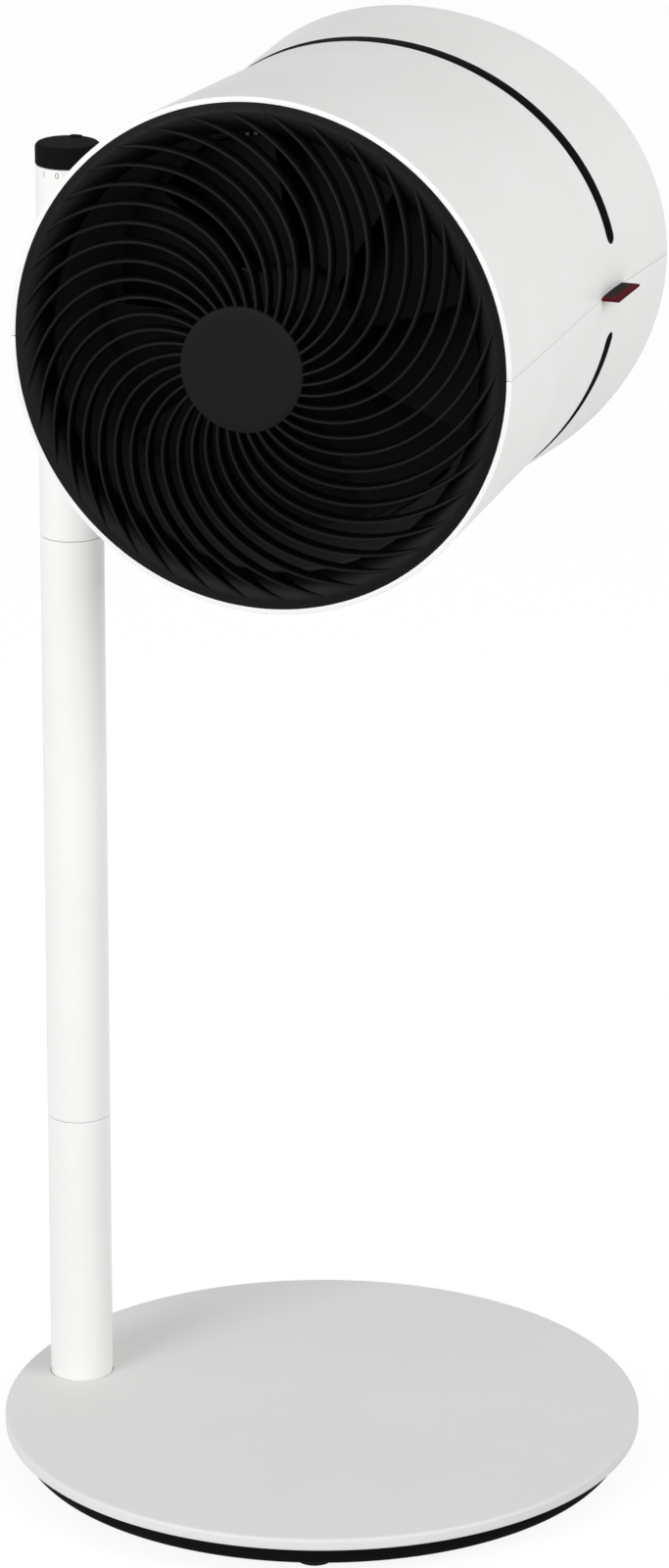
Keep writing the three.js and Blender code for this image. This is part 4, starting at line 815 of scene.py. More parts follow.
# ------------------------------------------------------------------ base
@dataclass
class Base:
    """The round plate, the dished pan under it and its feet."""

    edge_round: float = 1.6
    edge_flat: float = 4.0
    flank_reach: float = 13.2
    flank_profile: Outline = ((2.2, 5.2), (0.9, 6.6), (0.2, 8.2), (0.0, 10.0))
    skirt_overlap: float = 0.5
    inlet_room: float = 1.5
    socket_gap: float = 0.45
    socket_depth: float = 2.4
    foot_edge: float = 1.0

    def build(self) -> None:
        """Makes the base's pieces and lets them ride on the base."""
        place(self.plate(), Body.BASE, "base_plate")
        refine("base_pan", KNOB_ABS, Body.BASE, 0.4)
        refine("power_inlet", BLACK_ABS, Body.BASE, 0.2)
        place(self.skirt(), Body.BASE, "base_pan")
        for node in numbered("rubber_foot", 5):
            place(self.foot(node), Body.BASE, node)
        dress([*numbered("pan_screw", 3), "column_bolt"], ZINC_STEEL)

    def plate(self) -> bpy.types.Object:
        """The plate, with a rounded rim and the recess that the column stands in.

        Returns:
            The new object.
        """
        low, high = node_box("base_plate")
        radius, edge = high.x, self.edge_round
        outline = [
            (0.0, low.z),
            *arc((radius - edge / 2, low.z + edge / 2), edge / 2, -90, 0, 4),
            *arc((radius - edge, high.z - edge), edge, 0, 90, 8),
            *[(r, high.z) for r in span(radius - edge - self.edge_flat, 0.0, 6)],
        ]
        made = turned("base_plate_coated", outline, PLATE_COAT, segments=256)
        hole = node_box("lower_tube")[1].x - COLUMN_X + self.socket_gap
        floor, above = high.z - self.socket_depth, high.z + 1
        recess = [(0.0, floor), (hole, floor), (hole, above), (0.0, above)]
        carve(made, turned("socket_cutter", recess, PLATE_COAT, centre=(COLUMN_X, 0.0), segments=96))
        return made

    def skirt(self) -> bpy.types.Object:
        """The pan's full round flank, open round the power inlet.

        Returns:
            The new object.
        """
        low, high = node_box("base_pan")
        top, foot = high.x, high.x - self.flank_reach
        overlap, room = self.skirt_overlap, self.inlet_room
        flank = [(top - inset, low.z + rise) for inset, rise in self.flank_profile]
        outline = [(foot, low.z), *flank, (top, high.z), (top - overlap, high.z), (foot - overlap, low.z)]
        made = turned("base_pan_skirt", outline, KNOB_ABS, segments=192)
        inlet = node_box("power_inlet")
        near = inlet[0] - Vector((room, 0.0, high.z))
        carve(made, block("inlet_cutter", near, inlet[1] + Vector((room, high.z, room)), KNOB_ABS))
        return made

    def foot(self, node: str) -> bpy.types.Object:
        """A rubber foot with a rounded lower edge.

        Args:
            node: the foot's node.

        Returns:
            The new object.
        """
        low, high = node_box(node)
        centre = (low + high) / 2
        radius, edge = (high.x - low.x) / 2, self.foot_edge
        rounded = arc((radius - edge, low.z + edge), edge, -90, 0)
        outline = [(0.0, high.z), (0.0, low.z), *rounded, (radius, high.z)]
        return turned(f"{node}_moulded", outline, RUBBER, centre=(centre.x, centre.y), segments=48)


# ------------------------------------------------------------------ column
@dataclass
class Column:
    """The three tubes, the swivel inside them and the knob on top."""

    tube_edge: float = 0.35
    tube_wall: float = 1.8
    axle_gap: float = 0.3
    axle_steps: int = 48
    knob_edge: float = 2.4
    knob_flat: float = 1.0
    knob_foot: float = 0.3
    nub_width: float = 7.2
    nub_length: float = 3.2
    nub_height: float = 0.8
    nub_sink: float = 0.4
    nub_turn: float = 2.0
    nub_fullness: float = 0.25
    nub_steps: int = 40
    mark_size: float = 3.4
    mark_scale: float = 1.35
    mark_drop: float = 1.2
    mark_front: float = -88.0
    mark_step: float = 27.0
    ink_height: float = 0.03
    marks: str = "01"

    def build(self) -> None:
        """Makes the column's pieces and lets them ride on their bodies."""
        for node, body in (
            ("lower_tube", Body.BASE),
            ("middle_tube", Body.BASE),
            ("swivel_post", Body.POST),
        ):
            place(self.tube(node), body, node)
        knob, nub = self.knob()
        place(nub, Body.KNOB)
        place(knob, Body.KNOB, "speed_knob")
        place(self.numbers(), Body.POST)
        refine("tilt_saddle", WHITE_ABS, Body.POST, 0.3)
        dress(["column_foot", "swivel_pin", "swivel_nut", "axle_anchor", "tilt_axle"], ZINC_STEEL)
        dress(["tilt_nut", "spring_washer", "speed_switch", "switch_shaft"], ZINC_STEEL)
        dress(["swivel_washer", "tilt_washer"], BRONZE)
        dress(["tube_coupler", "swivel_bush"], NYLON)
        dress(["control_board"], BOARD)
        dress(["supply_lead"], RUBBER)
        dress(["post_cap"], WHITE_ABS)

    def tube(self, node: str) -> bpy.types.Object:
        """A round tube with lightly broken edges, so that its joints read as hairlines.

        Args:
            node: the tube's node.

        Returns:
            The new object.
        """
        low, high = node_box(node)
        radius, edge = (high.y - low.y) / 2, self.tube_edge
        bore = radius - self.tube_wall
        outline = [
            (bore, low.z),
            (radius - edge, low.z),
            (radius, low.z + edge),
            (radius, high.z - edge),
            (radius - edge, high.z),
            (bore, high.z),
        ]
        made = turned(f"{node}_coated", outline, WHITE_TUBE, centre=(COLUMN_X, 0.0), segments=96)
        if node == "swivel_post":
            carve(made, self.axle_hole())
        return made

    def axle_hole(self) -> bpy.types.Object:
        """A cutter for the hole that the tilt axle passes through.

        Returns:
            The new object.
        """
        low, high = node_box("tilt_axle")
        radius, count = (high.y - low.y) / 2 + self.axle_gap, self.axle_steps
        middle = (low.z + high.z) / 2
        corners = [
            (x, radius * math.cos(a), middle + radius * math.sin(a))
            for x in (COLUMN_X, high.x)
            for a in circle(count)
        ]
        faces = [range(count), range(count, 2 * count), *grid(2, count)]
        return finished("axle_hole_cutter", corners, faces, WHITE_TUBE)

    def knob(self) -> tuple[bpy.types.Object, bpy.types.Object]:
        """The knob: a low drum with a broad soft upper edge and a low finger mark at the back of its top.

        Returns:
            The drum and its mark.
        """
        low, high = node_box("speed_knob")
        radius, edge, foot = (high.x - low.x) / 2, self.knob_edge, self.knob_foot
        top = high.z - self.nub_height
        outline = [
            (0.0, low.z),
            (radius - foot, low.z),
            (radius, low.z + foot),
            *arc((radius - edge, top - edge), edge, 0, 90, 8),
            *[(r, top) for r in span(radius - edge - self.knob_flat, 0.0, 5)],
        ]
        made = turned("speed_knob_moulded", outline, KNOB_ABS, centre=(COLUMN_X, 0.0), segments=96)
        return made, self.finger_mark(top, radius)

    def finger_mark(self, top: float, radius: float) -> bpy.types.Object:
        """The low rounded mark on the knob's top.

        Args:
            top: height of the knob's flat top.
            radius: the knob's radius.

        Returns:
            The new object.
        """
        turn = math.radians(self.nub_turn)
        middle = radius - self.knob_edge - self.nub_length / 2
        tilts = [math.radians(tilt) for tilt in span(0.0, 90.0, 6)]
        corners: list[Point] = []
        for tilt in tilts:
            shrink = math.cos(tilt) ** self.nub_fullness
            height = top - self.nub_sink + (self.nub_height + self.nub_sink) * math.sin(tilt)
            for angle in circle(self.nub_steps):
                across = self.nub_width / 2 * shrink * self.squared(math.cos(angle))
                along = middle + self.nub_length / 2 * shrink * self.squared(math.sin(angle))
                x = COLUMN_X + across * math.cos(turn) - along * math.sin(turn)
                corners.append((x, across * math.sin(turn) + along * math.cos(turn), height))
        faces = [range(self.nub_steps), *grid(len(tilts), self.nub_steps)]
        return finished("speed_knob_nub", corners, faces, KNOB_ABS, 60.0)

    @staticmethod
    def squared(share: float) -> float:
        """A share of a round outline pushed towards a rounded rectangle."""
        return math.copysign(abs(share) ** 0.5, share)

    def numbers(self) -> bpy.types.Object:
        """Plain printed numbers round the white ring under the knob.

        Returns:
            The new object.
        """
        low, high = node_box("swivel_post")
        radius = (high.y - low.y) / 2
        reach = radius + self.ink_height
        base = high.z - self.mark_drop - self.mark_size
        corners: list[Vector] = []
        faces: list[list[int]] = []
        for index, mark in enumerate(self.marks):
            curve = bpy.data.curves.new("mark", "FONT")
            curve.body = mark
            curve.size = self.mark_size * self.mark_scale
            curve.align_x = "CENTER"
            letter = linked("mark", curve)
            depsgraph = bpy.context.evaluated_depsgraph_get()
            flat = bpy.data.meshes.new_from_object(letter.evaluated_get(depsgraph))
            turn = math.radians(self.mark_front - self.mark_step * index)
            faces += [[len(corners) + i for i in polygon.vertices] for polygon in flat.polygons]
            for vertex in flat.vertices:
                around = turn + vertex.co.x / radius
                x = COLUMN_X + reach * math.cos(around)
                corners.append(Vector((x, reach * math.sin(around), base + vertex.co.y)))
            bpy.data.objects.remove(letter)
        mesh = bpy.data.meshes.new("printed_numbers")
        mesh.from_pydata([c * MM for c in corners], [], faces)
        cover(mesh, GREY_INK.build())
        made = linked("printed_numbers", mesh)
        return made


# ------------------------------------------------------------------ fan head
@dataclass
class HeadShell:
    """The two halves of the drum, with the long slot behind the waist."""

    front_radius: float = 133.6
    waist_radius: float = 126.8
    rear_radius: float = 131.2
    wall: float = 2.3
    length: float = 278.0
    rear_rise: float = 32.0
    rear_roll: float = 6.0
    lip_edge: float = 0.6
    lip_round: float = 0.3
    front_start: float = 4.0
    waist_lead: float = 2.5
    waist_blend: float = 6.0
    slot_depth: float = 194.0
    slot_rise: float = 22.0
    slot_width: float = 10.0
    slot_end: float = 13.0
    slot_border: float = 1.5
    slot_row: int = 20
    seam_gap: float = 0.3
    edge_round: float = 0.3
    # The strip of painted shade along the slot's walls: its gap, width, drop and depth.
    shade_strip_gap: float = 0.03
    shade_strip_width: float = 0.6
    shade_strip_drop: float = 0.12
    shade_strip_depth: float = 5.0

    def build(self) -> None:
        """Makes both halves and lets them ride on the head."""
        for node, side in (("upper_shell", 1), ("lower_shell", -1)):
            made = self.half(f"{node}_moulded", side)
            bevel(made, self.edge_round, 50.0)
            place(made, Body.HEAD, node)
            # Each half also gets a dark strip of painted shade along its slot.
            place(self.shade_strip(f"{node}_slot_painted_shade", side), Body.HEAD)
        dress([*numbered("shell_screw", 4), "hub_plate"], ZINC_STEEL)
        dress(["tilt_bush"], NYLON)
        refine("tilt_collar", WHITE_ABS, Body.HEAD, 0.3)

    def slot_line(self, angle: float) -> float:
        """Depth of the slot's middle line at an angle."""
        return self.slot_depth - self.slot_rise * math.sin(angle) ** 2

    def waist_line(self, angle: float) -> float:
        """Depth of the waist, just ahead of the slot."""
        return self.slot_line(angle) - self.slot_width / 2 - self.waist_lead

    def rear_line(self, angle: float) -> float:
        """Depth at which the rear edge starts to roll in, an arc seen from the side."""
        return self.length - self.rear_rise * math.sin(angle) ** 2 - self.rear_roll

    def radius(self, depth: float, angle: float) -> float:
        """Outer radius at a depth and an angle, with the waist blended over a few millimetres.

        Args:
            depth: distance behind the plane of the front rim.
            angle: turn round the axis, in radians.

        Returns:
            The radius.
        """
        waist = self.waist_line(angle)
        narrowing = (self.waist_radius - self.front_radius) / waist
        widening = (self.rear_radius - self.waist_radius) / (self.rear_line(angle) - waist)
        past = depth - waist
        if past < -self.waist_blend:
            return self.waist_radius + narrowing * past
        if past > self.waist_blend:
            return self.waist_radius + widening * past
        along = (past + self.waist_blend) / (2 * self.waist_blend)
        start = self.waist_radius - narrowing * self.waist_blend
        slope = narrowing + (widening - narrowing) * along / 2
        return start + slope * along * 2 * self.waist_blend

    def columns(self) -> list[tuple[float, float]]:
        """The columns of corners round a half.

        Returns:
            For each its angle, in radians, and half the slot's width there, in millimetres.
        """
        wide = self.slot_width / 2
        first = math.asin(self.seam_gap / 2 / self.waist_radius)
        end, tip = math.radians(self.slot_end), wide / self.waist_radius
        half = [(a, 0.0) for a in span(first, end - tip, 6)[:-1]]
        half += [(end - tip * math.cos(t), wide * math.sin(t)) for t in span(0.0, math.pi / 2, 8)]
        middle = [(a, wide) for a in span(end, math.pi - end, 90)[1:-1]]
        return half + middle + [(math.pi - a, w) for a, w in reversed(half)]

    def rows(self, angle: float, half_slot: float) -> list[tuple[float, float]]:
        """The outer skin at an angle, from the front lip to the rear roll; the slot starts at slot_row.

        Args:
            angle: turn round the axis, in radians.
            half_slot: half the slot's width there.

        Returns:
            Depth and radius of each point.
        """
        waist, slot, rear = self.waist_line(angle), self.slot_line(angle), self.rear_line(angle)
        lip, edge = self.front_radius, self.lip_edge
        depths = [edge, *span(self.front_start, waist - self.waist_blend, 14), waist - 3, waist - 1]
        depths += [slot - half_slot, slot + half_slot]
        depths += span(slot + self.slot_width / 2 + self.slot_border, rear, 7)
        skin = [(0.0, lip - edge), (edge * self.lip_round, lip - edge * self.lip_round)]
        skin += [(d, self.radius(d, angle)) for d in depths]
        return [*skin, *arc((rear, self.rear_radius - self.rear_roll), self.rear_roll, 90, 0, 8)[1:]]

    def inside(self, row: Outline, angle: float) -> list[tuple[float, float]]:
        """The inner skin behind one row of the outer skin.

        Args:
            row: depth and radius of each point of the outer skin.
            angle: turn round the axis, in radians.

        Returns:
            Depth and radius of each point of the inner skin.
        """
        rear = self.rear_line(angle)
        share = (self.rear_roll - self.wall) / self.rear_roll
        centre = self.rear_radius - self.rear_roll
        lined = []
        for depth, radius in row:
            if depth <= rear:
                lined.append((depth, min(radius, self.radius(depth, angle)) - self.wall))
            else:
                lined.append((rear + (depth - rear) * share, centre + (radius - centre) * share))
        return lined

    def half(self, name: str, side: int) -> bpy.types.Object:
        """One half of the drum.

        Args:
            name: the piece's name.
            side: 1 for the upper half and -1 for the lower.

        Returns:
            The new object.
        """
        columns = self.columns()
        outer = [self.rows(angle, half_slot) for angle, half_slot in columns]
        inner = [self.inside(row, angle) for row, (angle, _) in zip(outer, columns)]
        corners = [
            in_head(radius, side * angle, depth)
            for skin in (outer, inner)
            for row, (angle, _) in zip(skin, columns)
            for depth, radius in row
        ]
        slotted = {i for i in range(len(columns) - 1) if columns[i][1] > 0 or columns[i + 1][1] > 0}
        faces = double_skin(len(columns), len(outer[0]), slotted, self.slot_row)
        return finished(name, corners, faces, WHITE_ABS, 40.0)

    def slot_loop(self) -> list[tuple[float, float]]:
        """The slot's outline, once round.

        Returns:
            Its points as angles and depths.
        """
        open_columns = [(a, w) for a, w in self.columns() if w > 0]
        start = math.radians(self.slot_end) - self.slot_width / 2 / self.waist_radius
        front, rear = (
            [(a, self.slot_line(a) + side * w) for a, w in open_columns] for side in (-1, 1)
        )
        tips = [(a, self.slot_line(a)) for a in (start, math.pi - start)]
        return [tips[0], *front, tips[1], *reversed(rear)]

    def inset_loop(self, loop: Outline, inset: float) -> list[tuple[float, float]]:
        """The slot's outline moved inwards on the unrolled skin.

        Args:
            loop: the outline as angles and depths.
            inset: how far it moves, in millimetres.

        Returns:
            The moved outline.
        """
        radius = self.waist_radius
        moved = []
        for i, (angle, depth) in enumerate(loop):
            before, after = loop[i - 1], loop[(i + 1) % len(loop)]
            along = Vector(((after[0] - before[0]) * radius, after[1] - before[1])).normalized()
            moved.append((angle - along.y * inset / radius, depth + along.x * inset))
        return moved

    def shade_strip(self, name: str, side: int) -> bpy.types.Object:
        """A dark strip of painted shade along the slot's walls, so that the slot reads as one dark line.

        Args:
            name: the piece's name.
            side: 1 for the upper half and -1 for the lower.

        Returns:
            The new object.
        """
        loop = self.slot_loop()
        corners: list[Point] = []
        for inset, drop in (
            (self.shade_strip_gap, self.shade_strip_drop),
            (self.shade_strip_width, self.shade_strip_drop),
            (self.shade_strip_width, self.shade_strip_depth),
            (self.shade_strip_gap, self.shade_strip_depth),
        ):
            moved = self.inset_loop(loop, inset)
            corners += [in_head(self.radius(d, a) - drop, side * a, d) for a, d in moved]
        made = finished(name, corners, grid(4, len(loop), shut=True), SLOT_PAINTED_SHADE)
        return made


@dataclass
class FrontGrille:
    """The domed grille: spiral ribs between a plain disc and a smooth rim."""

    ribs: SpiralRibs
    disc_radius: float = 32.6
    dome: float = 24.0
    power: float = 1.5
    rim_radius: float = 131.0
    rim_width: float = 4.2
    rim_depth: float = 10.0
    rim_edge: float = 0.4
    rim_seat_gap: float = 0.45
    mouth_width: float = 13.0
    mouth_depth: float = 11.0
    mouth_turn: float = 78.0
    rib_root: float = 1.5
    rib_overrun: float = 1.2
    rib_count: int = 38
    rib_start: float = 0.65
    rib_turn: float = 0.475
    rib_curl: float = 0.00268
    rib_thickness: float = 1.7
    rib_depth: float = 8.5
    hub_bore: float = 8.3
    hub_setback: float = 2.0
    hub_depth: float = 11.0
    cap_gap: float = 0.05
    cap_bevel: float = 0.7
    cap_crown: float = 0.4
    cap_thickness: float = 1.7

    def build(self) -> None:
        """Makes the grille and its cap."""
        for made in (self.fins(), self.rim(), self.hub()):
            place(made, Body.HEAD, "front_grille")
        place(self.cap(), Body.HEAD, "grille_cap")

    def front(self, radius: float) -> float:
        """Depth of the dome at a radius."""
        share = max(radius - self.disc_radius, 0.0) / (self.rim_radius - self.disc_radius)
        return -self.dome * (1 - share**self.power)

    def fins(self) -> bpy.types.Object:
        """The spiral ribs.

        Returns:
            The new object.
        """
        return self.ribs.make(
            "front_grille_ribs",
            self.rib_count,
            33,
            Inner=self.disc_radius - self.rib_root,
            Outer=self.rim_radius - self.rim_width + self.rib_overrun,
            Disc=self.disc_radius,
            Start=self.rib_start,
            Turn=self.rib_turn,
            Curl=self.rib_curl,
            Dome=self.dome,
            Run=self.rim_radius - self.disc_radius,
            Power=self.power,
            Thickness=self.rib_thickness,
            Depth=self.rib_depth,
            Rounding=RIB_ROUND,
            Setback=0.0,
        )

    def rim(self) -> bpy.types.Object:
        """The smooth ring that seats in the shell's lip, and the bell mouth that runs back behind the ribs.

        Returns:
            The new object.
        """
        shoulder = self.rim_radius - self.rim_width
        start = self.front(shoulder)
        turns = [math.radians(t) for t in span(0.0, self.mouth_turn, 10)]
        mouth = [
            (shoulder - self.mouth_width * math.sin(t), start + self.mouth_depth * (1 - math.cos(t)))
            for t in turns
        ]
        outline = [
            (self.rim_radius - self.rim_seat_gap, self.rim_depth),
            (mouth[-1][0], self.rim_depth),
            *reversed(mouth),
            *[(r, self.front(r)) for r in span(shoulder, self.rim_radius - self.rim_edge, 5)[1:]],
            (self.rim_radius, 0.5),
        ]
        return turned("front_grille_rim", outline, BLACK_ABS, Axis.BACK, segments=192)

    def hub(self) -> bpy.types.Object:
        """The ring that carries the ribs' inner ends, behind the cap.

        Returns:
            The new object.
        """
        front = self.hub_setback - self.dome
        rear = front + self.hub_depth
        bore, radius = self.hub_bore, self.disc_radius
        outline = [(bore, front), (radius, front), (radius, rear), (bore, rear)]
        return turned("front_grille_hub", outline, BLACK_ABS, Axis.BACK, segments=96)

    def cap(self) -> bpy.types.Object:
        """The plain disc in the middle, very slightly crowned, with a soft edge.

        Returns:
            The new object.
        """
        radius, edge = self.disc_radius - self.cap_gap, self.cap_bevel
        face = -self.dome
        rear = face + self.cap_thickness
        outline = [
            *[(r, face - self.cap_crown * (1 - (r / radius) ** 2)) for r in span(0.0, radius - edge, 8)],
            *arc((radius - edge, face + edge), edge, -90, 0, 4)[1:],
            (radius, rear),
            (0.0, rear),
        ]
        return turned("grille_cap_moulded", outline, DISC_ABS, Axis.BACK, segments=128)


@dataclass
class RearGrille:
    """The flat intake grille, set back inside the rear of the drum."""

    ribs: SpiralRibs
    rib_count: int = 36
    rib_thickness: float = 1.8
    outer_rib_count: int = 108
    outer_rib_thickness: float = 2.4
    rib_root: float = 1.0
    rib_setback: float = 0.5
    sweep: float = 38.0
    rim_width: float = 8.0
    hub_radius: float = 34.0
    ring_radius: float = 76.0
    ring_width: float = 2.4
    ring_edge: float = 0.6

    def build(self) -> None:
        """Makes the grille's pieces."""
        low, high = node_box("rear_grille")
        front, rear = low.y - HEAD_FRONT, high.y - HEAD_FRONT
        radius = (high.x - low.x) / 2
        rim, hub = radius - self.rim_width, self.hub_radius
        middle = self.ring_radius + self.ring_width / 2
        inner = (self.rib_count, self.rib_thickness, hub, middle)
        outer = (self.outer_rib_count, self.outer_rib_thickness, middle, rim)
        for made in (
            self.ring("rear_grille_rim", rim, radius, front, rear),
            self.ring("rear_grille_ring", self.ring_radius, self.ring_radius + self.ring_width, front, rear),
            self.ring("rear_grille_hub", 0.0, hub, front, rear),
            self.fins("rear_grille_inner_ribs", *inner, rim),
            self.fins("rear_grille_outer_ribs", *outer, rim),
        ):
            place(made, Body.HEAD, "rear_grille")
        dress(numbered("rear_screw", 3), ZINC_STEEL)

    def ring(self, name: str, inner: float, outer: float, front: float, rear: float) -> bpy.types.Object:
        """A flat ring or disc with softened edges on its rear face.

        Args:
            name: the piece's name.
            inner: inner radius, or 0 for a disc.
            outer: outer radius.
            front: depth of its front face.
            rear: depth of its rear face.

        Returns:
            The new object.
        """
        edge = self.ring_edge
        outline = [(inner, front), (outer, front), (outer, rear - edge), (outer - edge, rear)]
        outline += [(inner + edge, rear), (inner, rear - edge)] if inner else [(0.0, rear)]
        return turned(name, outline, BLACK_ABS, Axis.BACK, segments=144)

    def fins(
        self, name: str, count: int, thickness: float, inner: float, outer: float, rim: float
    ) -> bpy.types.Object:
        """One zone of swept ribs.

        Args:
            name: the piece's name.
            count: ribs in the zone.
            thickness: a rib's thickness.
            inner: radius at which they start.
            outer: radius at which they end.
            rim: inner radius of the rim, at which the sweep is complete.

        Returns:
            The new object.
        """
        low, high = node_box("rear_grille")
        return self.ribs.make(
            name,
            count,
            9,
            Inner=inner - self.rib_root,
            Outer=outer + self.rib_root,
            Disc=self.hub_radius,
            Start=0.0,
            Turn=-self.sweep / (rim - self.hub_radius),
            Curl=0.0,
            Dome=0.0,
            Run=1.0,
            Power=1.0,
            Thickness=thickness,
            Depth=high.y - low.y - 2 * self.rib_setback,
            Rounding=RIB_ROUND,
            Setback=low.y - HEAD_FRONT + self.rib_setback,
        )


@dataclass
class Fan:
    """The impeller, its nose, the motor behind it and the duct round them."""

    around: AroundAxis
    blade_count: int = 9
    hub_bore: float = 4.3
    hub_radius: float = 36.0
    hub_length: float = 40.0
    hub_nose: float = 5.0
    hub_edge: float = 0.4
    root_depth: float = 2.0
    root_chord: float = 54.0
    tip_chord: float = 96.0
    root_pitch: float = 42.0
    tip_pitch: float = 22.0
    blade_thickness: float = 2.6
    section_steps: int = 20

    def build(self) -> None:
        """Makes the fan's pieces and lets them ride on the impeller or the head."""
        low, high = node_box("impeller")
        front = low.y - HEAD_FRONT
        for made in (self.hub(front), self.blades(front, (high.z - low.z) / 2)):
            place(made, Body.IMPELLER, "impeller")
        refine("impeller_nut", INNER_ABS, Body.IMPELLER, 0.3)
        # The duct and the motor support are painted paler than black ABS: painted light, seen between the
        # blades.
        refine("air_duct", DUCT_ABS_PAINTED_LIGHT, Body.HEAD, 0.2)
        refine("motor_support", DUCT_ABS_PAINTED_LIGHT, Body.HEAD, 0.2)
        dress(["motor_housing", "motor_end_cap"], MOTOR_STEEL)
        dress(["front_bearing", "rear_bearing", "motor_shaft"], ZINC_STEEL)
        dress(["motor_stator"], COPPER)
        dress(["motor_rotor"], FERRITE)

    def hub(self, front: float) -> bpy.types.Object:
        """The impeller's hub with a rounded nose.

        Args:
            front: depth of its front face.

        Returns:
            The new object.
        """
        rear = front + self.hub_length
        radius, nose, edge = self.hub_radius, self.hub_nose, self.hub_edge
        outline = [
            (self.hub_bore, front),
            (radius - nose, front),
            *arc((radius - nose, front + nose), nose, -90, 0, 6)[1:],
            (radius, rear - edge),
            (radius - edge, rear),
            (self.hub_bore, rear),
        ]
        return turned("impeller_hub", outline, INNER_ABS, Axis.BACK, segments=96)

    def blades(self, front: float, tip: float) -> bpy.types.Object:
        """The twisted blades, one made and the rest turned round the axis.

        Args:
            front: depth of the hub's front face.
            tip: radius of the blades' tips.

        Returns:
            The new object.
        """
        middle = front + self.hub_length / 2
        root = self.hub_radius - self.root_depth
        shares, section = span(0.0, 1.0, 14), self.section_steps
        corners: list[Point] = []
        for share in shares:
            radius = root + (tip - root) * share
            chord = self.root_chord + (self.tip_chord - self.root_chord) * share
            pitch = math.radians(self.root_pitch + (self.tip_pitch - self.root_pitch) * share)
            for turn in circle(section):
                along = chord / 2 * math.cos(turn)
                across = self.blade_thickness / 2 * math.sin(turn)
                round_axis = along * math.cos(pitch) - across * math.sin(pitch)
                back = along * math.sin(pitch) + across * math.cos(pitch)
                corners.append(in_head(radius, round_axis / radius, middle + back))
        last = (len(shares) - 1) * section
        faces = [*grid(len(shares), section), range(section), range(last, last + section)]
        made = finished("impeller_blades", corners, faces, INNER_ABS, 60.0)
        return self.around.apply(
            made,
            INNER_ABS,
            Count=self.blade_count,
            Centre=HEAD_MIDDLE_M,
            Axis=Vector((0.0, 1.0, 0.0)),
            Step=math.tau / self.blade_count,
        )


@dataclass
class SeamTag:
    """The folded ribbon caught in the seam: a red ribbon with a plain grey field on its upper side."""

    thickness: float = 0.7
    stand_out: float = 10.5
    border: float = 4.0
    border_front: float = 3.4
    border_rear: float = 1.0
    field_rise: float = 0.08
    field_depth: float = 0.2

    def build(self) -> None:
        """Makes the ribbon and its field."""
        low, high = node_box("seam_tag")
        ribbon, panel = self.ribbon(low, high), self.panel(low, high)
        place(ribbon, Body.HEAD, "seam_tag")
        place(panel, Body.HEAD)

    def ribbon(self, low: Vector, high: Vector) -> bpy.types.Object:
        """The ribbon as one loop, folded at its outer edge.

        Args:
            low: lowest corner of the tag's box.
            high: its highest corner.

        Returns:
            The new object.
        """
        fold, middle = (high.z - low.z) / 2, (high.z + low.z) / 2
        reach = high.x - fold
        outer = [(x, middle + fold) for x in span(low.x, reach, 12)]
        outer += arc((reach, middle), fold, 90, -90, 8)[1:]
        outer += [(x, middle - fold) for x in span(reach, low.x, 12)[1:]]
        keep = (fold - self.thickness) / fold
        inner = [
            (reach + (x - reach) * keep if x > reach else x, middle + (z - middle) * keep) for x, z in outer
        ]
        widths = span(low.y, high.y, 24)
        corners = [(x, y, z) for skin in (outer, inner) for y in widths for x, z in skin]
        return finished("seam_tag_ribbon", corners, double_skin(len(widths), len(outer)), RED_RIBBON)

    def panel(self, low: Vector, high: Vector) -> bpy.types.Object:
        """The plain field woven into the ribbon's upper side.

        Args:
            low: lowest corner of the tag's box.
            high: its highest corner.

        Returns:
            The new object.
        """
        top = high.z + self.field_rise
        near = Vector((high.x - self.stand_out, low.y + self.border_front, top - self.field_depth))
        far = Vector((high.x - self.border, high.y - self.border_rear, top))
        return block("seam_tag_field", near, far, GREY_RIBBON)


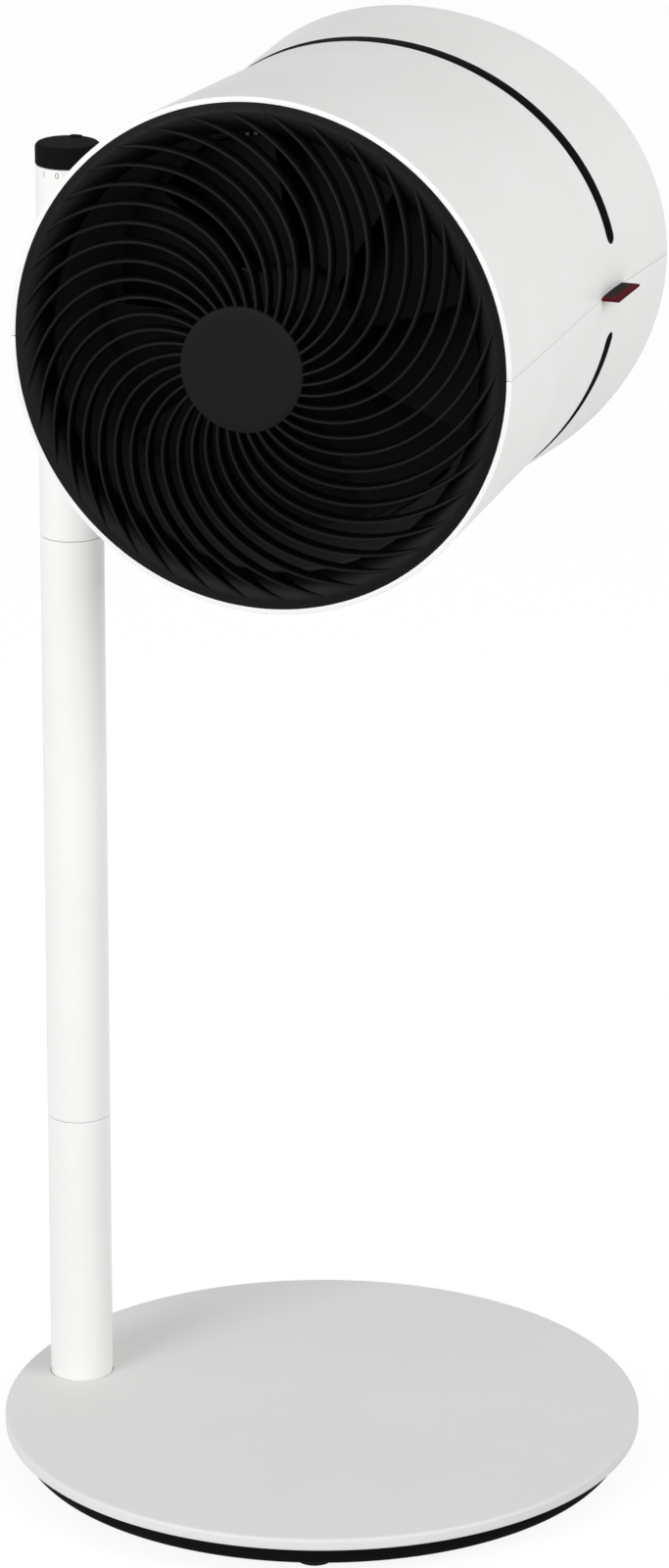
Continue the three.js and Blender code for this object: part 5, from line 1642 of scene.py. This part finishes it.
# ------------------------------------------------------------------ studio
@dataclass
class Studio:
    """Floor, light and camera."""

    image_height_px: float = 1600.0
    focal_px: float = 6754.8
    centre_row_px: float = 560.0
    camera_mm: Point = (1116.8, -3128.5, 1510.9)
    camera_turn: float = 19.529
    camera_dip: float = 16.73
    sensor_mm: float = 36.0
    sky: float = 0.52
    floor_half_mm: float = 14000.0
    floor_paint: float = 0.7
    floor_glow: float = 0.8
    floor_white: float = 1.13
    lamp_target_mm: Point = (0.0, 0.0, 450.0)

    def build(self) -> None:
        """Makes the floor, the lamps, the sky and the camera."""
        self.floor()
        self.world()
        self.lamp("front_lamp", (-1300.0, -3400.0, 1300.0), 1600.0, 69.0)
        self.lamp("side_lamp", (2500.0, -500.0, 1700.0), 1300.0, 28.0)
        self.camera()

    def floor(self) -> None:
        """A plain pale floor that stays pale to the camera and keeps a soft shadow."""
        half = self.floor_half_mm
        corners = [(-half, -half, 0.0), (half, -half, 0.0), (half, half, 0.0), (-half, half, 0.0)]
        made = finished("studio_floor", corners, [(0, 1, 2, 3)], WHITE_ABS)
        material = bpy.data.materials.new("studio_floor_paint")
        material.use_nodes = True
        tree = material.node_tree
        tree.nodes.clear()
        grey = (self.floor_paint, self.floor_paint, self.floor_paint, 1.0)
        paint = add_node(tree, "ShaderNodeBsdfDiffuse", {"Color": grey})
        glow = add_node(tree, "ShaderNodeEmission", {"Color": WHITE, "Strength": self.floor_white})
        share = add_node(
            tree, "ShaderNodeMath", {0: self.seen(tree), 1: self.floor_glow}, operation="MULTIPLY"
        )
        mixed = add_node(
            tree, "ShaderNodeMixShader", {0: share.outputs[0], 1: paint.outputs[0], 2: glow.outputs[0]}
        )
        add_node(tree, "ShaderNodeOutputMaterial", {"Surface": mixed.outputs[0]})
        cover(made.data, material)

    @staticmethod
    def seen(tree: bpy.types.NodeTree) -> Any:
        """A socket that is 1 where the camera, a reflection or a look through glass meets the surface.

        Args:
            tree: the node tree that needs it.

        Returns:
            The socket.
        """
        rays = add_node(tree, "ShaderNodeLightPath").outputs
        seen = rays["Is Camera Ray"]
        for kind in ("Is Glossy Ray", "Is Transmission Ray"):
            seen = add_node(tree, "ShaderNodeMath", {0: seen, 1: rays[kind]}, operation="MAXIMUM").outputs[0]
        return seen

    def world(self) -> None:
        """An even pale sky, white where the camera or a reflection sees it."""
        world = bpy.data.worlds.new("studio_sky")
        bpy.context.scene.world = world
        world.use_nodes = True
        tree = world.node_tree
        tree.nodes.clear()
        strength = add_node(
            tree, "ShaderNodeMapRange", {"Value": self.seen(tree), "To Min": self.sky, "To Max": 1.0}
        )
        light = add_node(tree, "ShaderNodeBackground", {"Color": WHITE, "Strength": strength.outputs[0]})
        add_node(tree, "ShaderNodeOutputWorld", {"Surface": light.outputs[0]})

    def lamp(self, name: str, spot: Point, size: float, watts: float) -> None:
        """A large soft lamp that faces the fan.

        Args:
            name: the lamp's name.
            spot: where it stands.
            size: its width.
            watts: its power.
        """
        data = bpy.data.lights.new(name, "AREA")
        data.shape = "SQUARE"
        data.size = size * MM
        data.energy = watts
        made = linked(name, data)
        made.location = Vector(spot) * MM
        aim = Vector(self.lamp_target_mm) * MM - made.location
        made.rotation_euler = aim.to_track_quat("-Z", "Y").to_euler()

    def camera(self) -> None:
        """The camera at the photograph's place, aim and framing."""
        data = bpy.data.cameras.new("camera")
        data.sensor_width = self.sensor_mm
        data.lens = self.focal_px / self.image_height_px * self.sensor_mm
        data.shift_y = -(self.image_height_px / 2 - self.centre_row_px) / self.image_height_px
        data.clip_start = 0.05
        data.clip_end = 100.0
        made = linked("camera", data)
        made.location = Vector(self.camera_mm) * MM
        made.rotation_euler = (math.radians(90.0 - self.camera_dip), 0.0, math.radians(self.camera_turn))
        bpy.context.scene.camera = made


def main() -> None:
    """Builds the fan's looks and the studio."""
    logging.basicConfig(level=logging.INFO, format="%(message)s")
    bpy.context.scene.view_settings.view_transform = "Standard"
    Studio().build()
    spiral, around = SpiralRibs(), AroundAxis()
    for part in (
        Base(),
        Column(),
        HeadShell(),
        FrontGrille(spiral),
        RearGrille(spiral),
        Fan(around),
        SeamTag(),
    ):
        part.build()


if __name__ == "__main__":
    main()
